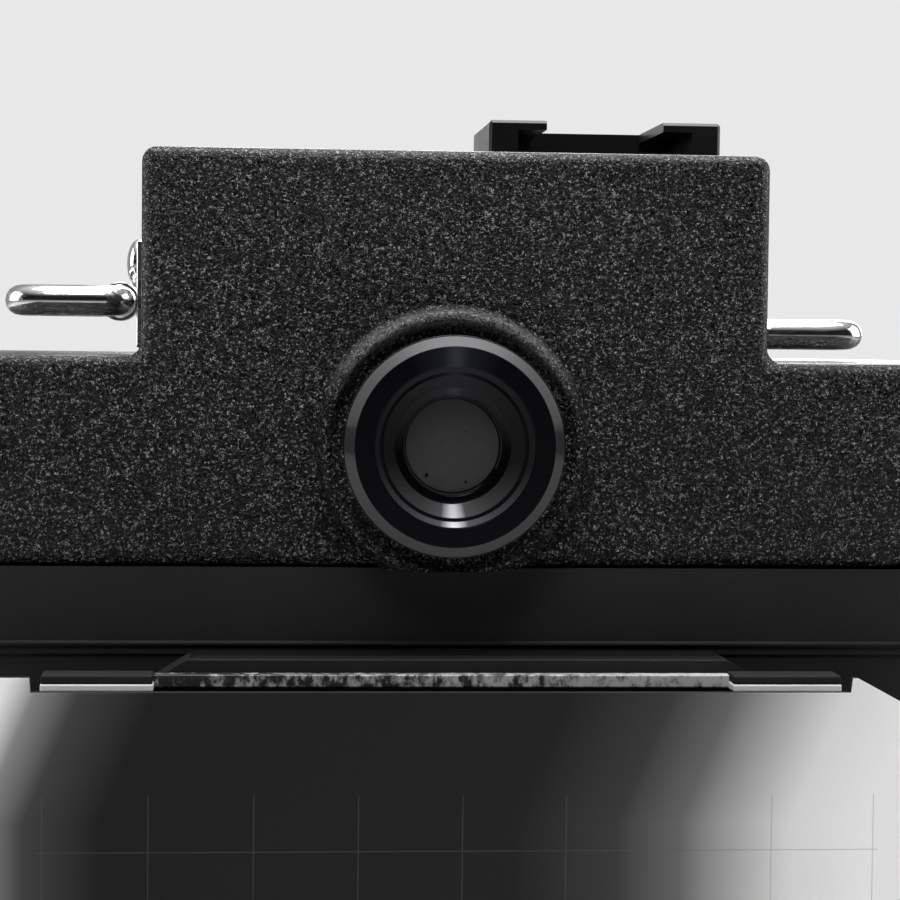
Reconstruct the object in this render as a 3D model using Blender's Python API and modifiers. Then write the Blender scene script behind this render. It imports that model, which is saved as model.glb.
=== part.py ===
"""A folding metal view camera for 6 x 9 cm film, open on its base.

+X is right as seen from behind, +Y points at the subject and +Z is up. The origin is on the
underside of the tripod plate, midway across the body. Lengths are in metres.
"""

import math

import bmesh
import bpy
from mathutils import Matrix, Vector

MM = 0.001

# Clearances
TOUCH = 0.3 * MM          # between pieces that rest on each other
RUNNING = 0.3 * MM        # around a shaft or a sliding piece
PROUD = 1.0 * MM          # how far a cutter runs past the face it cuts

# Body
BODY_WIDTH = 118 * MM
BODY_HEIGHT = 114.7 * MM
BODY_DEPTH = 62 * MM
BODY_WALL = 3 * MM
PLATE_THICK = 3 * MM
PLATE_SIDE = 50 * MM
BUSH_RADIUS = 7 * MM
BUSH_BORE = 4.7 * MM
BUSH_AHEAD = 14 * MM
COVERING_THICK = 0.8 * MM
COVERING_MARGIN = 5 * MM
CHAMBER_WIDTH = 84 * MM   # the light path through bulkhead and back wall
CHAMBER_HEIGHT = 80 * MM

# Rangefinder housing
HOUSING_WIDTH = BODY_WIDTH - 4 * MM
HOUSING_DEPTH = 58 * MM
HOUSING_OVERHANG = 7 * MM
HOUSING_WALL = 2 * MM
SHOULDER_HEIGHT = 20.7 * MM
TOWER_WIDTH = 62.9 * MM
TOWER_HEIGHT = 20.8 * MM
HOUSING_ROUND = 1.4 * MM
CHASSIS_THICK = 1.5 * MM

# Eyepiece
EYE_UP = 12.2 * MM        # axis above the housing's lower edge
EYE_AWAY = 0.6 * MM       # axis left of the tower's middle
RING_RADIUS = 10.96 * MM
RING_PROUD = 4.6 * MM
RING_CHAMFER = 1.1 * MM
CONE_MOUTH = 7.85 * MM
CONE_FOOT = 5.8 * MM
EYE_GLASS_RADIUS = 4.65 * MM
EYE_GLASS_THICK = 1.4 * MM
RING_TAIL_RADIUS = 7 * MM
SEAT_RADIUS = RING_RADIUS + 1.1 * MM
SEAT_DEEP = 1.2 * MM
BOSS_RADIUS = SEAT_RADIUS + 1.3 * MM
BOSS_PROUD = 2.2 * MM
SNAP_WIRE = 0.28 * MM

# Windows, dial, shoe and strap loops on the housing
WINDOW_RADIUS = 5.2 * MM
WINDOW_THICK = 1.2 * MM
SIDE_WINDOW_AWAY = 46 * MM
TOWER_WINDOW_WIDTH = 26 * MM
TOWER_WINDOW_HEIGHT = 13 * MM
DIAL_RADIUS = 5.2 * MM
DIAL_HEIGHT = 3.4 * MM
SHOE_WIDTH = 25 * MM
SHOE_LENGTH = 19 * MM
SHOE_BASE = 1.2 * MM
SHOE_SLOT_WIDTH = 18.8 * MM
SHOE_SLOT_HEIGHT = 2.2 * MM
SHOE_LIP_GAP = 12.6 * MM
SHOE_LIP = 1.0 * MM
SHOE_AWAY = 17.2 * MM
LOOP_WIRE = 3.3 * MM
LOOP_REACH = 12.2 * MM
LOOP_WIDTH = 18 * MM
LUG_UP = 26.4 * MM        # left loop's axis above the housing's lower edge
LUG_BEHIND = 8 * MM
LUG_PLATE = 1.2 * MM
LUG_WALL = 0.55 * MM      # of the knuckle round the loop's wire
LUG_HEAD = 6.5 * MM       # plate above the loop's axis

# Revolving back
BACK_UP = 62 * MM         # its axis above the base
BACK_FRAME_WIDTH = BODY_WIDTH - 4 * MM
BACK_RING_RADIUS = 47.5 * MM
BACK_RIM = 8 * MM         # band of the fixed frame above the revolving one
GATE_SIDE = 60 * MM       # square film opening
GLASS_FRAME_THICK = 2.6 * MM
GLASS_FRAME_MARGIN = 2.2 * MM
GLASS_FRAME_REACH = 60 * MM  # its corners are turned down to this radius
GLASS_THICK = 1.5 * MM
GLASS_WINDOW = 80 * MM
GLASS_CLIP = 6.7 * MM     # length cut off each corner, along each side
LOCK_HEIGHT = 1.4 * MM
LOCK_THICK = 1.6 * MM
LOCK_WIDTH = 58 * MM
LOCK_TAB = 11 * MM
LOCK_TAB_OUT = 4.2 * MM
LOCK_TAB_DROP = 0.4 * MM

# Bed, rails and focusing
BED_WIDTH = BODY_WIDTH - 18 * MM
BED_LENGTH = 99 * MM
BED_PLATE = 2.7 * MM
BED_WALL = 4 * MM
BED_WALL_HEIGHT = 10.7 * MM
HINGE_AHEAD = 4.2 * MM    # hinge axis ahead of the body's front
HINGE_UP = 7 * MM
HINGE_PIN_RADIUS = 1.4 * MM
HINGE_KNUCKLE = 2.9 * MM
HINGE_EAR = 8 * MM
FOOT_WIDTH = 40 * MM
FOOT_LENGTH = 9 * MM
RAIL_WIDTH = 6 * MM
RAIL_APART = 38 * MM
RAIL_HEIGHT = 9.2 * MM
TRACK_THICK = 3 * MM
TRACK_WIDTH = 50 * MM
TRACK_LENGTH = 86 * MM
TEETH = 14
TOOTH_PITCH = 1.5708 * MM
TOOTH_HIGH = 0.4 * MM
TOOTH_DEEP = 0.65 * MM
TOOTH_BACKLASH = 0.3 * MM
PINION_WIDTH = 8 * MM
SHAFT_RADIUS = 1.5 * MM
SHAFT_AHEAD = 66 * MM     # focus shaft ahead of the body's front
KNOB_RADIUS = 9 * MM
KNOB_WIDTH = 9 * MM
KNOB_FLUTES = 24
KNOB_FLUTE_DEEP = 0.45 * MM
STRUT_WIDTH = 5 * MM
STRUT_THICK = 1.2 * MM
STRUT_FOOT_AHEAD = 39 * MM
STRUT_FOOT_UP = 9 * MM
STUD_BEHIND = 7 * MM
STUD_UP = 44 * MM
STUD_RADIUS = 1.4 * MM
STUD_TRAVEL = 8 * MM
LEVER_LENGTH = 14 * MM

# Front standard
STANDARD_AHEAD = 105 * MM # rear of its frame ahead of the body's front
STANDARD_DEEP = 6 * MM
UPRIGHT_WIDTH = 4 * MM
STANDARD_WIDTH = BED_WIDTH - 2 * MM
CARRIAGE_THICK = 3.7 * MM
CARRIAGE_LENGTH = 22 * MM
CARRIAGE_WIDTH = 52 * MM
STANDARD_BAR = 3.2 * MM
RISE_UP = 14 * MM
RISE_DOWN = 0 * MM
RISER_WALL = 5.5 * MM
RISER_SIDE = 6 * MM
TILT_WIDTH = 56.8 * MM    # square; the frames round it follow
TILT_DEEP = 4.7 * MM
TILT_OPENING = TILT_WIDTH - 10.8 * MM
SHIFT_WIDTH = TILT_WIDTH + 11.2 * MM
SHIFT_HEIGHT = TILT_WIDTH + 7.2 * MM
SHIFT_DEEP = 4 * MM
SHIFT_OPENING = TILT_WIDTH + 2.2 * MM
RISER_HEIGHT = SHIFT_HEIGHT + 6 * MM
TRUNNION = 1.2 * MM
RISE_KNOB_RADIUS = 6.5 * MM
RISE_KNOB_WIDTH = 6 * MM

# Lens and shutter
BOARD_SIDE = TILT_WIDTH - 2.8 * MM
BOARD_THICK = 2.2 * MM
SHUTTER_RADIUS = 21 * MM
SHUTTER_DEEP = 10 * MM
SHUTTER_THREAD = 12 * MM
SPEED_RING_RADIUS = 22 * MM
SPEED_RING_DEEP = 4 * MM
SPEED_RING_BORE = 15.5 * MM
FRONT_CELL_RADIUS = 15 * MM
FRONT_CELL_DEEP = 16 * MM
REAR_CELL_RADIUS = 13 * MM
REAR_CELL_DEEP = 11 * MM
LENS_RADIUS = 11 * MM

# Bellows
BELLOWS_REAR_WIDTH = BODY_WIDTH - 22 * MM
BELLOWS_REAR_HEIGHT = 84 * MM
BELLOWS_FRONT = TILT_OPENING + 4 * MM
BELLOWS_PLEATS = 12
BELLOWS_FOLD = 3.2 * MM
BELLOWS_WALL = 0.7 * MM
BELLOWS_CORNER = 6 * MM

# Places that follow from the sizes above
BODY_BOTTOM = PLATE_THICK + TOUCH
BODY_TOP = BODY_BOTTOM + BODY_HEIGHT
BODY_FRONT = BODY_DEPTH / 2
BODY_BACK = -BODY_DEPTH / 2
HOUSING_BOTTOM = BODY_TOP + TOUCH
HOUSING_BACK = BODY_BACK - HOUSING_OVERHANG
HOUSING_FRONT = HOUSING_BACK + HOUSING_DEPTH
SHOULDER = HOUSING_BOTTOM + SHOULDER_HEIGHT
TOWER_TOP = SHOULDER + TOWER_HEIGHT
EYE_Z = HOUSING_BOTTOM + EYE_UP
EYE_SEAT = HOUSING_BACK - BOSS_PROUD + SEAT_DEEP
LUG_KNUCKLE = LOOP_WIRE / 2 + RUNNING + LUG_WALL
LUG_Z = {-1: HOUSING_BOTTOM + LUG_UP, 1: SHOULDER + LUG_KNUCKLE + TOUCH + 0.1 * MM}
LUG_Y = -LUG_BEHIND
LUG_X = TOWER_WIDTH / 2 + TOUCH + LUG_PLATE + LUG_KNUCKLE - 0.6 * MM
BACK_FACE = HOUSING_BACK + TOUCH
REVOLVING_TOP = BODY_TOP - BACK_RIM
REVOLVING_HALF = REVOLVING_TOP - BACK_UP
REVOLVING_FRONT = HOUSING_BACK - TOUCH
REVOLVING_BACK = EYE_SEAT - RING_PROUD
REVOLVING_REACH = EYE_Z - BOSS_RADIUS - BACK_UP - 2 * RUNNING
LOCK_UP = REVOLVING_HALF - 2.9 * MM
GLASS_FRAME_HALF = LOCK_UP - LOCK_HEIGHT / 2 - TOUCH
GLASS_FRAME_FRONT = REVOLVING_BACK - TOUCH
GLASS_FRAME_BACK = GLASS_FRAME_FRONT - GLASS_FRAME_THICK
HINGE_Y = BODY_FRONT + HINGE_AHEAD
BED_BOTTOM = BODY_BOTTOM
BED_REAR = HINGE_Y + 2.0 * MM
BED_FRONT = BED_REAR + BED_LENGTH
BED_FLOOR = BED_BOTTOM + BED_PLATE
RAIL_TOP = BED_FLOOR + TOUCH + RAIL_HEIGHT
TRACK_BOTTOM = RAIL_TOP + TOUCH
TRACK_TOP = TRACK_BOTTOM + TRACK_THICK
TRACK_FRONT = BED_FRONT - 1 * MM
TRACK_REAR = TRACK_FRONT - TRACK_LENGTH
PITCH_RADIUS = TEETH * TOOTH_PITCH / (2 * math.pi)
SHAFT_Y = BODY_FRONT + SHAFT_AHEAD
RACK_TOP = TRACK_BOTTOM - TOUCH
PITCH_Z = RACK_TOP - 1.6 * MM
SHAFT_Z = PITCH_Z - PITCH_RADIUS
STRUT_X = BED_WIDTH / 2 + TOUCH
STRUT_FOOT = Vector((0, BODY_FRONT + STRUT_FOOT_AHEAD, STRUT_FOOT_UP))
STUD = Vector((0, BODY_FRONT - STUD_BEHIND, STUD_UP))
CARRIAGE_TOP = TRACK_TOP + TOUCH + CARRIAGE_THICK
STANDARD_REAR = BODY_FRONT + STANDARD_AHEAD
STANDARD_FRONT = STANDARD_REAR + STANDARD_DEEP
STANDARD_FOOT = CARRIAGE_TOP + TOUCH
RISER_WIDTH = STANDARD_WIDTH - 2 * UPRIGHT_WIDTH - 2 * RUNNING
RISER_FOOT = STANDARD_FOOT + STANDARD_BAR + 0.7 * MM
LENS_UP = RISER_FOOT + RISER_HEIGHT / 2
STANDARD_HEIGHT = LENS_UP + RISER_HEIGHT / 2 + RISE_UP + 1 * MM
SHIFT_RANGE = (RISER_WIDTH - TILT_WIDTH) / 2 - RISER_SIDE - RUNNING
KNOB_AXIS_Y = STANDARD_REAR + STANDARD_DEEP / 2
SHIFT_REAR = STANDARD_FRONT + TOUCH
SHIFT_FRONT = SHIFT_REAR + SHIFT_DEEP
TILT_Y = SHIFT_REAR + SHIFT_DEEP / 2
TILT_FRONT = SHIFT_REAR + TILT_DEEP
BOARD_REAR = TILT_FRONT + TOUCH
BOARD_FRONT = BOARD_REAR + BOARD_THICK
SHUTTER_REAR = BOARD_FRONT + TOUCH
SHUTTER_FRONT = SHUTTER_REAR + SHUTTER_DEEP
SPEED_REAR = SHUTTER_FRONT + TOUCH
BELLOWS_BACK = 3 * MM + TOUCH
BELLOWS_AHEAD = SHIFT_REAR - TOUCH

# Finishes: colour, roughness, metallic
BLACK_CAST = ((0.025, 0.025, 0.027), 0.55, 0.0)
BLACK_SATIN = ((0.020, 0.020, 0.022), 0.35, 0.0)
BLACK_ANODISED = ((0.030, 0.031, 0.034), 0.28, 0.6)
LEATHER = ((0.022, 0.020, 0.019), 0.60, 0.0)
CHROME = ((0.75, 0.75, 0.76), 0.15, 1.0)
STEEL = ((0.55, 0.55, 0.56), 0.32, 1.0)
ALUMINIUM = ((0.62, 0.62, 0.63), 0.38, 1.0)
BRASS = ((0.60, 0.46, 0.20), 0.35, 1.0)
CLEAR_GLASS = ((0.10, 0.12, 0.14), 0.05, 0.0)
MATT_GLASS = ((0.62, 0.64, 0.65), 0.45, 0.0)
BELLOWS_SKIN = ((0.030, 0.028, 0.027), 0.70, 0.0)

PARTS = bpy.data.collections.new("view_camera")
CUTTERS = bpy.data.collections.new("cutters")


def clear_scene():
    for obj in list(bpy.data.objects):
        bpy.data.objects.remove(obj)
    bpy.context.scene.collection.children.link(PARTS)
    bpy.context.scene.collection.children.link(CUTTERS)
    CUTTERS.hide_render = True


def paint(obj, finish):
    colour, roughness, metallic = finish
    material = bpy.data.materials.new(obj.name + "_finish")
    material.use_nodes = True
    shader = material.node_tree.nodes["Principled BSDF"]
    shader.inputs["Base Color"].default_value = (*colour, 1.0)
    shader.inputs["Roughness"].default_value = roughness
    shader.inputs["Metallic"].default_value = metallic
    obj.data.materials.append(material)


def place(name, data, finish):
    """A new part, or a cutter where it has no finish."""
    obj = bpy.data.objects.new(name, data)
    (PARTS if finish else CUTTERS).objects.link(obj)
    if finish:
        paint(obj, finish)
    else:
        obj.hide_render = True
        obj.display_type = "WIRE"
    return obj


def round_edges(obj, width, segments=1):
    bevel = obj.modifiers.new("round_edges", "BEVEL")
    bevel.width = width
    bevel.segments = segments
    bevel.limit_method = "ANGLE"
    bevel.angle_limit = math.radians(40)
    return obj


def block(name, x, y, z, finish=None, origin=None, rounded=0.0):
    """A box between the two ends given for each axis."""
    low = Vector((x[0], y[0], z[0]))
    high = Vector((x[1], y[1], z[1]))
    origin = Vector(origin) if origin else (low + high) / 2
    shape = bmesh.new()
    bmesh.ops.create_cube(shape, size=1.0)
    bmesh.ops.scale(shape, vec=high - low, verts=shape.verts)
    bmesh.ops.translate(shape, vec=(low + high) / 2 - origin, verts=shape.verts)
    mesh = bpy.data.meshes.new(name)
    shape.to_mesh(mesh)
    shape.free()
    obj = place(name, mesh, finish)
    obj.location = origin
    if rounded:
        round_edges(obj, rounded)
    return obj


def centred(half, middle=0.0):
    return (middle - half, middle + half)


def turn_to(obj, axis):
    """Turns local +Z to the named axis."""
    turns = {"X": (0, math.pi / 2, 0), "Y": (-math.pi / 2, 0, 0), "Z": (0, 0, 0)}
    back = {"-X": (0, -math.pi / 2, 0), "-Y": (math.pi / 2, 0, 0), "-Z": (math.pi, 0, 0)}
    obj.rotation_euler = {**turns, **back}[axis]


def rod(name, centre, axis, radius, length, finish=None, steps=32):
    """A cylinder whose middle is at centre."""
    shape = bmesh.new()
    bmesh.ops.create_cone(
        shape, cap_ends=True, segments=steps, radius1=radius, radius2=radius, depth=length
    )
    mesh = bpy.data.meshes.new(name)
    shape.to_mesh(mesh)
    shape.free()
    obj = place(name, mesh, finish)
    obj.location = centre
    turn_to(obj, axis)
    return obj


def turned(name, centre, axis, profile, finish=None, steps=40):
    """A turned piece: its profile is (radius, height along the axis), down its outer side."""
    mesh = bpy.data.meshes.new(name)
    points = [(radius, 0, height) for radius, height in profile]
    edges = [(i, i + 1) for i in range(len(points) - 1)]
    if profile[0][0] > 0:
        edges.append((len(points) - 1, 0))
    mesh.from_pydata(points, edges, [])
    obj = place(name, mesh, finish)
    obj.location = centre
    turn_to(obj, axis)
    screw = obj.modifiers.new("turn", "SCREW")
    screw.steps = steps
    screw.render_steps = steps
    screw.use_merge_vertices = True
    screw.merge_threshold = 0.00001
    screw.use_smooth_shade = True
    return obj


def flat(name, outline, thickness, finish=None):
    """A plate of this outline in its own XY plane, centred on it."""
    curve = bpy.data.curves.new(name, "CURVE")
    curve.dimensions = "2D"
    curve.fill_mode = "BOTH"
    curve.extrude = thickness / 2
    spline = curve.splines.new("POLY")
    spline.points.add(len(outline) - 1)
    for point, (u, v) in zip(spline.points, outline):
        point.co = (u, v, 0, 1)
    spline.use_cyclic_u = True
    return as_mesh(place(name, curve, finish))


def wire(name, points, diameter, finish, closed):
    """A wire through these points, relative to the first."""
    curve = bpy.data.curves.new(name, "CURVE")
    curve.dimensions = "3D"
    curve.bevel_depth = diameter / 2
    curve.bevel_resolution = 2
    curve.use_fill_caps = not closed
    spline = curve.splines.new("POLY")
    spline.points.add(len(points) - 1)
    for point, place_of_it in zip(spline.points, points):
        point.co = (*place_of_it, 1)
    spline.use_cyclic_u = closed
    return place(name, curve, finish)


def as_mesh(obj):
    """The curve object made a mesh object of the same name and place, with its caps welded."""
    name = obj.name
    bpy.context.view_layer.update()
    graph = bpy.context.evaluated_depsgraph_get()
    mesh = bpy.data.meshes.new_from_object(obj.evaluated_get(graph))
    shape = bmesh.new()
    shape.from_mesh(mesh)
    bmesh.ops.remove_doubles(shape, verts=shape.verts, dist=0.000001)
    bmesh.ops.recalc_face_normals(shape, faces=shape.faces)
    shape.to_mesh(mesh)
    shape.free()
    matrix = obj.matrix_world.copy()
    home = obj.users_collection[0]
    is_cutter = obj.hide_render
    bpy.data.objects.remove(obj)
    made = bpy.data.objects.new(name, mesh)
    made.matrix_world = matrix
    home.objects.link(made)
    if is_cutter:
        made.hide_render = True
        made.display_type = "WIRE"
    return made


def combine(obj, other, operation):
    CUTTERS.objects.link(other)
    for home in other.users_collection:
        if home != CUTTERS:
            home.objects.unlink(other)
    other.hide_render = True
    other.display_type = "WIRE"
    modifier = obj.modifiers.new(operation.lower(), "BOOLEAN")
    modifier.operation = operation
    modifier.object = other
    modifier.solver = "EXACT"


def cut(obj, *cutters):
    for cutter in cutters:
        if cutter.name in CUTTERS.objects:
            CUTTERS.objects.unlink(cutter)
        combine(obj, cutter, "DIFFERENCE")
    return obj


def join(obj, *others):
    for other in others:
        if other.name in CUTTERS.objects:
            CUTTERS.objects.unlink(other)
        combine(obj, other, "UNION")
    return obj


def carry(name, where, parent, *pieces):
    """An empty on a joint's axis that carries the moving pieces."""
    empty = bpy.data.objects.new(name, None)
    empty.location = where
    empty.empty_display_size = 5 * MM
    PARTS.objects.link(empty)
    if parent:
        ride(parent, empty)
    for piece in pieces:
        ride(empty, piece)
    return empty


def ride(carrier, piece):
    bpy.context.view_layer.update()
    piece.parent = carrier
    piece.matrix_parent_inverse = carrier.matrix_world.inverted()


def side_name(stem, side):
    return stem + ("_left" if side < 0 else "_right")


def between(side, inner, outer):
    """The X ends of a piece on this side, from inner to outer."""
    return tuple(sorted((side * inner, side * outer)))


def scalloped(radius, depth, count, share=0.5):
    """An outline with this many teeth of even depth, the first centred on +Y."""
    points = []
    for tooth in range(count):
        middle = math.pi / 2 + 2 * math.pi * tooth / count
        half = math.pi / count
        for offset, reach in (
            (-half * share, radius - depth),
            (-half * share * 0.55, radius),
            (half * share * 0.55, radius),
            (half * share, radius - depth),
        ):
            points.append((reach * math.cos(middle + offset), reach * math.sin(middle + offset)))
    return points


# Body


def body_shell():
    inner_x = BODY_WIDTH / 2 - BODY_WALL
    floor = BODY_BOTTOM + BODY_WALL
    ceiling = BODY_TOP - BODY_WALL
    shell = block(
        "body_shell", centred(BODY_WIDTH / 2), (BODY_BACK, BODY_FRONT), (BODY_BOTTOM, BODY_TOP),
        BLACK_SATIN, rounded=2 * MM,
    )
    front = block("front_room", centred(inner_x), (BODY_WALL, BODY_FRONT + PROUD), (floor, ceiling))
    rear = block("rear_room", centred(inner_x), (BODY_BACK + BODY_WALL, 0), (floor, ceiling))
    path = block(
        "light_path", centred(CHAMBER_WIDTH / 2), (BODY_BACK - PROUD, BODY_WALL + PROUD),
        centred(CHAMBER_HEIGHT / 2, BACK_UP),
    )
    latch = rod("latch_hole", (30 * MM, latch_y(), BODY_TOP), "Z", 4 * MM + RUNNING, 10 * MM)
    tip = STRUT_X - 0.5 * MM
    root = inner_x + BODY_WALL / 2
    studs = [
        rod(
            "stud_" + str(side), (side * (tip + root) / 2, STUD.y, STUD.z), "X",
            STUD_RADIUS, root - tip, steps=16,
        )
        for side in (-1, 1)
    ]
    cut(shell, front, rear, path, latch)
    return join(shell, *studs)


def latch_y():
    return (HOUSING_FRONT + BODY_FRONT) / 2


def tripod_parts():
    plate = block(
        "tripod_plate", centred(PLATE_SIDE / 2), centred(PLATE_SIDE / 2), (0, PLATE_THICK), STEEL,
        rounded=0.5 * MM,
    )
    bush_z = PLATE_THICK / 2
    cut(plate, rod("bush_hole", (0, BUSH_AHEAD, bush_z), "Z", BUSH_RADIUS + TOUCH, 9 * MM))
    half = PLATE_THICK / 2 - 0.1 * MM
    profile = [(BUSH_RADIUS, half), (BUSH_RADIUS, -half), (BUSH_BORE, -half), (BUSH_BORE, half)]
    turned("tripod_bush", (0, BUSH_AHEAD, bush_z + 0.1 * MM), "Z", profile, BRASS)


def coverings():
    for side in (-1, 1):
        inner = BODY_WIDTH / 2 + TOUCH
        block(
            side_name("covering", side), between(side, inner, inner + COVERING_THICK),
            (BODY_BACK + COVERING_MARGIN, BODY_FRONT - COVERING_MARGIN),
            (BODY_BOTTOM + COVERING_MARGIN, BODY_TOP - COVERING_MARGIN), LEATHER,
            rounded=0.3 * MM,
        )


def latch_button():
    height = 5.4 * MM
    profile = [(0, height / 2), (3.2 * MM, height / 2), (4 * MM, height / 2 - 0.8 * MM)]
    profile += [(4 * MM, -height / 2), (0, -height / 2)]
    where = (30 * MM, latch_y(), BODY_TOP + 0.8 * MM)
    button = turned("bed_latch_button", where, "Z", profile, CHROME, steps=24)
    carry("latch_travel", where, None, button)


# Rangefinder housing


def rangefinder_housing():
    wall = HOUSING_WALL
    housing = flat("rangefinder_housing", housing_outline(), HOUSING_DEPTH, BLACK_CAST)
    housing.matrix_world = facing_back((HOUSING_BACK + HOUSING_FRONT) / 2)
    round_edges(housing, HOUSING_ROUND, 2)
    seat = BOSS_PROUD - SEAT_DEEP
    boss_profile = [
        (0, seat), (SEAT_RADIUS, seat), (SEAT_RADIUS, BOSS_PROUD), (BOSS_RADIUS - 0.5 * MM, BOSS_PROUD),
        (BOSS_RADIUS, BOSS_PROUD - 0.5 * MM), (BOSS_RADIUS, -TOUCH / 2), (0, -TOUCH / 2),
    ]
    join(housing, turned("boss", (-EYE_AWAY, HOUSING_BACK, EYE_Z), "-Y", boss_profile))
    lower_room = block(
        "lower_room", centred(HOUSING_WIDTH / 2 - wall), (HOUSING_BACK + wall, HOUSING_FRONT - wall),
        (HOUSING_BOTTOM - PROUD, SHOULDER - wall),
    )
    upper_room = block(
        "upper_room", centred(TOWER_WIDTH / 2 - wall), (HOUSING_BACK + wall, HOUSING_FRONT - wall),
        (HOUSING_BOTTOM - PROUD, TOWER_TOP - wall),
    )
    bore = rod("eyepiece_bore", (-EYE_AWAY, HOUSING_BACK, EYE_Z), "Y", RING_TAIL_RADIUS + TOUCH, 14 * MM)
    return cut(housing, lower_room, upper_room, bore, *window_holes())


def housing_outline():
    """An upside-down T, as (X, Z)."""
    wide = HOUSING_WIDTH / 2
    narrow = TOWER_WIDTH / 2
    right = [(wide, HOUSING_BOTTOM), (wide, SHOULDER), (narrow, SHOULDER), (narrow, TOWER_TOP)]
    return right + [(-x, z) for x, z in reversed(right)]


def facing_back(y):
    """Stands an outline given as (X, Z) at this Y."""
    return Matrix(((1, 0, 0, 0), (0, 0, -1, y), (0, 1, 0, 0), (0, 0, 0, 1)))


def window_holes():
    round_hole = WINDOW_RADIUS + TOUCH
    holes = [
        rod("window_hole_" + str(i), (x, HOUSING_FRONT, EYE_Z), "Y", round_hole, 10 * MM)
        for i, x in enumerate((0, -SIDE_WINDOW_AWAY))
    ]
    holes.append(
        block(
            "tower_window_hole", centred(TOWER_WINDOW_WIDTH / 2 + TOUCH),
            centred(5 * MM, HOUSING_FRONT),
            centred(TOWER_WINDOW_HEIGHT / 2 + TOUCH, tower_window_z()),
        )
    )
    return holes


def tower_window_z():
    return TOWER_TOP - TOWER_HEIGHT / 2 + 0.5 * MM


def windows():
    for name, x in (("finder_objective", 0), ("rangefinder_window", -SIDE_WINDOW_AWAY)):
        rod(
            name, (x, HOUSING_FRONT - 0.8 * MM, EYE_Z), "Y", WINDOW_RADIUS, WINDOW_THICK,
            CLEAR_GLASS,
        )
    block(
        "viewfinder_window", centred(TOWER_WINDOW_WIDTH / 2),
        centred(WINDOW_THICK / 2, HOUSING_FRONT - 0.8 * MM),
        centred(TOWER_WINDOW_HEIGHT / 2, tower_window_z()), CLEAR_GLASS, rounded=0.2 * MM,
    )


def eyepiece():
    """Ring, its glass, and the wire ring that keeps the glass in."""
    face = RING_PROUD
    profile = [
        (RING_RADIUS - RING_CHAMFER, face), (RING_RADIUS, face - RING_CHAMFER),
        (RING_RADIUS, TOUCH), (RING_TAIL_RADIUS, TOUCH), (RING_TAIL_RADIUS, -2.6 * MM),
        (EYE_GLASS_RADIUS - 0.8 * MM, -2.6 * MM), (EYE_GLASS_RADIUS - 0.8 * MM, -1.2 * MM),
        (EYE_GLASS_RADIUS + TOUCH, -1.2 * MM), (EYE_GLASS_RADIUS + TOUCH, face - 3.6 * MM),
        (CONE_FOOT, face - 2.8 * MM), (CONE_MOUTH, face - 0.15 * MM), (CONE_MOUTH, face),
    ]
    turned("eyepiece_ring", (-EYE_AWAY, EYE_SEAT, EYE_Z), "-Y", profile, BLACK_ANODISED, steps=48)
    half = EYE_GLASS_THICK / 2
    glass_y = EYE_SEAT + 1.2 * MM - TOUCH - half
    crown = 0.25 * MM
    profile = [(0, half + crown), (0.6 * EYE_GLASS_RADIUS, half + 0.64 * crown)]
    profile += [(EYE_GLASS_RADIUS, half), (EYE_GLASS_RADIUS, -half), (0, -half)]
    turned("eyepiece_lens", (-EYE_AWAY, glass_y, EYE_Z), "-Y", profile, CLEAR_GLASS)
    radius = EYE_GLASS_RADIUS - SNAP_WIRE / 2
    gap = math.radians(26)
    start = -math.radians(40) + gap / 2
    count = 24
    points = []
    for i in range(count):
        angle = start + (2 * math.pi - gap) * i / (count - 1)
        points.append((radius * math.cos(angle), 0, radius * math.sin(angle)))
    ring = wire("eyepiece_snap_ring", points, SNAP_WIRE, STEEL, closed=False)
    ring.location = (-EYE_AWAY, glass_y - half - SNAP_WIRE / 2 - TOUCH, EYE_Z)


def chassis_and_prism():
    wall = HOUSING_WALL + TOUCH
    top = HOUSING_BOTTOM + TOUCH + CHASSIS_THICK
    block(
        "rangefinder_chassis", centred(HOUSING_WIDTH / 2 - wall),
        (HOUSING_BACK + wall, HOUSING_FRONT - wall), (HOUSING_BOTTOM + TOUCH, top), ALUMINIUM,
    )
    side = 12 * MM
    prism = flat(
        "beam_splitter_prism",
        [(-side / 2, -side / 2), (side / 2, -side / 2), (side / 2, side / 2), (-side / 2, side / 2)],
        side, CLEAR_GLASS,
    )
    prism.location = (0, HOUSING_BACK + 26 * MM, EYE_Z)
    round_edges(prism, 0.4 * MM, 1)
    mirror = block(
        "rangefinder_mirror", centred(0.8 * MM, -SIDE_WINDOW_AWAY), centred(6 * MM, mirror_y()),
        centred(5 * MM, EYE_Z), CHROME, origin=(-SIDE_WINDOW_AWAY, mirror_y(), EYE_Z),
    )
    mirror.rotation_euler = (0, 0, math.radians(45))
    foot = rod(
        "mirror_post", (-SIDE_WINDOW_AWAY, mirror_y(), (top + TOUCH + EYE_Z) / 2), "Z", 1.6 * MM,
        EYE_Z - top - TOUCH, steps=16,
    )
    join(mirror, foot)
    foot.parent = mirror
    foot.matrix_parent_inverse = (
        Matrix.Translation(mirror.location) @ Matrix.Rotation(math.radians(45), 4, "Z")
    ).inverted()
    carry("mirror_pivot", (-SIDE_WINDOW_AWAY, mirror_y(), EYE_Z), None, mirror)


def mirror_y():
    return HOUSING_BACK + 26 * MM


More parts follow.
